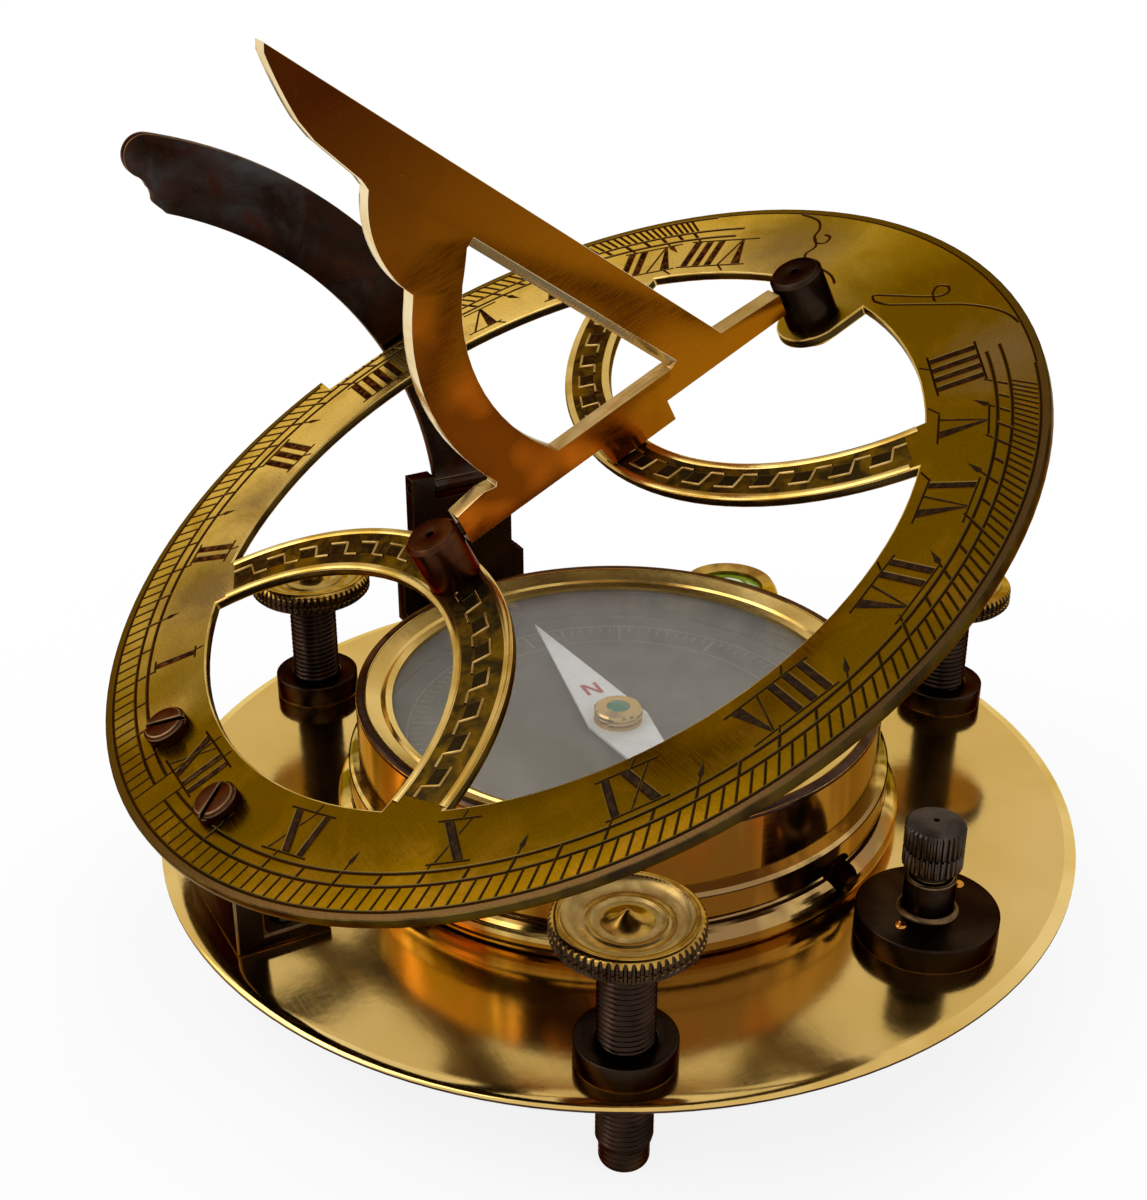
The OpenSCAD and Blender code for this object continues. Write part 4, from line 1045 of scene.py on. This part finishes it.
def flange_screw(name, x, y):
    """A slotted screw that holds a flange to the plate."""
    axes, r, rise, slot = PLATE @ Matrix.Translation((x, y, 2.0)), 1.9, 1.1, 0.28
    domed_head(name, axes, r, rise, BRONZE)
    mark = Engraving(rise * 0.86)
    mark.area([(-r * 0.8, -slot), (r * 0.8, -slot), (r * 0.8, slot), (-r * 0.8, slot)], 0.08)
    mark.build(name + "_slot", BRONZE, "base", axes)


for k, place in enumerate(((1.4, -5.3, 3.4), (-2.0, 6.5, 3.4))):
    domed_head(f"lock_rivet_{k + 1}", LOCK @ Matrix.Translation(place), 0.8, 0.4, ORANGE)
for k, x in enumerate((-6.4, 6.4)):
    flange_screw(f"hinge_flange_screw_{k}", x, -52.2)
for k, y in enumerate((-1.5, 12.2)):
    flange_screw(f"bracket_flange_screw_{k}", -57.3, y)


# Camera, stage and light

def camera():
    """The photograph's viewpoint: close, from above the south east, and rolled a little."""
    place, aim, roll = Vector((191.738, -112.300, 161.066)), Vector((0, -7.421, 48.519)), 0.1854
    data = bpy.data.cameras.new("camera")
    data.sensor_fit = "AUTO"
    data.sensor_width = 36
    data.lens = 55.642
    data.shift_x, data.shift_y = -0.00693, -0.00371
    data.clip_start, data.clip_end = 0.005, 20
    made = bpy.data.objects.new("camera", data)
    bpy.context.scene.collection.objects.link(made)
    level = (aim - place).to_track_quat("-Z", "Y").to_matrix().to_4x4()
    made.matrix_world = Matrix.Translation(place * MM) @ level @ Matrix.Rotation(math.radians(roll), 4, "Z")
    bpy.context.scene.camera = made


def area_light(name, place, target, size, power, colour=(1, 1, 1), mirrored=False):
    """A soft lamp in metres. Metal mirrors it only where that is said."""
    data = bpy.data.lights.new(name, "AREA")
    data.shape = "RECTANGLE"
    data.size, data.size_y = size
    data.energy = power
    data.color = colour
    made = bpy.data.objects.new(name, data)
    bpy.context.scene.collection.objects.link(made)
    made.location = place
    made.rotation_mode = "QUATERNION"
    made.rotation_quaternion = (Vector(target) - Vector(place)).to_track_quat("-Z", "Y")
    made.visible_glossy = mirrored


def background_rays(tree):
    """One for the rays that show the background: the camera's, and those from metal and through glass."""
    rays = tree.nodes.new("ShaderNodeLightPath").outputs
    seen = rays["Is Camera Ray"]
    for kind in ("Is Glossy Ray", "Is Transmission Ray"):
        either = tree.nodes.new("ShaderNodeMath")
        either.operation = "MAXIMUM"
        tree.links.new(seen, either.inputs[0])
        tree.links.new(rays[kind], either.inputs[1])
        seen = either.outputs[0]
    return seen


def stage():
    """A white round floor, in metres, that keeps a soft shadow."""
    count, verts = 64, [(0.0, 0.0, 0.0)]
    angles = [math.tau * i / count for i in range(count)]
    for r in (0.2, 0.6, 1.6, 4.0):
        verts += [(r * math.cos(a), r * math.sin(a), 0) for a in angles]
    faces = [(0, 1 + i, 1 + (i + 1) % count) for i in range(count)]
    for k in range(3):
        a, b = 1 + k * count, 1 + (k + 1) * count
        faces += [(a + i, b + i, b + (i + 1) % count, a + (i + 1) % count) for i in range(count)]
    f = Finish("floor")
    f.finish((0.86, 0.86, 0.85), 0.0, 0.9)
    glow = f.node("ShaderNodeEmission", {"Strength": 1.0})
    share = f.math("MULTIPLY", background_rays(f.tree), 0.85)
    both = f.node("ShaderNodeMixShader", {0: share, 1: f.shader.outputs[0], 2: glow.outputs[0]})
    f.put(f.out.inputs[0], both.outputs[0])
    mesh = bpy.data.meshes.new("floor")
    mesh.from_pydata(verts, [], faces)
    mesh.materials.append(f.material)
    floor = bpy.data.objects.new("floor", mesh)
    bpy.context.scene.collection.objects.link(floor)


def background(tree, colour, strength):
    made = tree.nodes.new("ShaderNodeBackground")
    made.inputs["Color"].default_value = (*colour, 1)
    made.inputs["Strength"].default_value = strength
    return made.outputs[0]


def world():
    """White where it is seen or mirrored, and a softer sky as light."""
    made = bpy.data.worlds.new("studio")
    made.use_nodes = True
    tree = made.node_tree
    tree.nodes.clear()
    mix = tree.nodes.new("ShaderNodeMixShader")
    tree.links.new(background_rays(tree), mix.inputs[0])
    tree.links.new(background(tree, (0.80, 0.82, 0.86), 0.75), mix.inputs[1])
    tree.links.new(background(tree, (1, 1, 1), 1.0), mix.inputs[2])
    out = tree.nodes.new("ShaderNodeOutputWorld")
    tree.links.new(mix.outputs[0], out.inputs[0])
    bpy.context.scene.world = made


camera()
stage()
world()
area_light("key", (-0.4, -1.1, 1.1), (0, 0, 0.04), (1.5, 1.5), 16.0, (1, 0.98, 0.95), mirrored=True)
area_light("back", (-0.6, 1.1, 0.9), (0, 0, 0.05), (1.1, 0.8), 8.0)
area_light("side", (1.2, 0.4, 0.8), (0, 0, 0.05), (0.8, 0.8), 5.0, (0.96, 0.98, 1))
bpy.context.scene.view_settings.view_transform = "Standard"
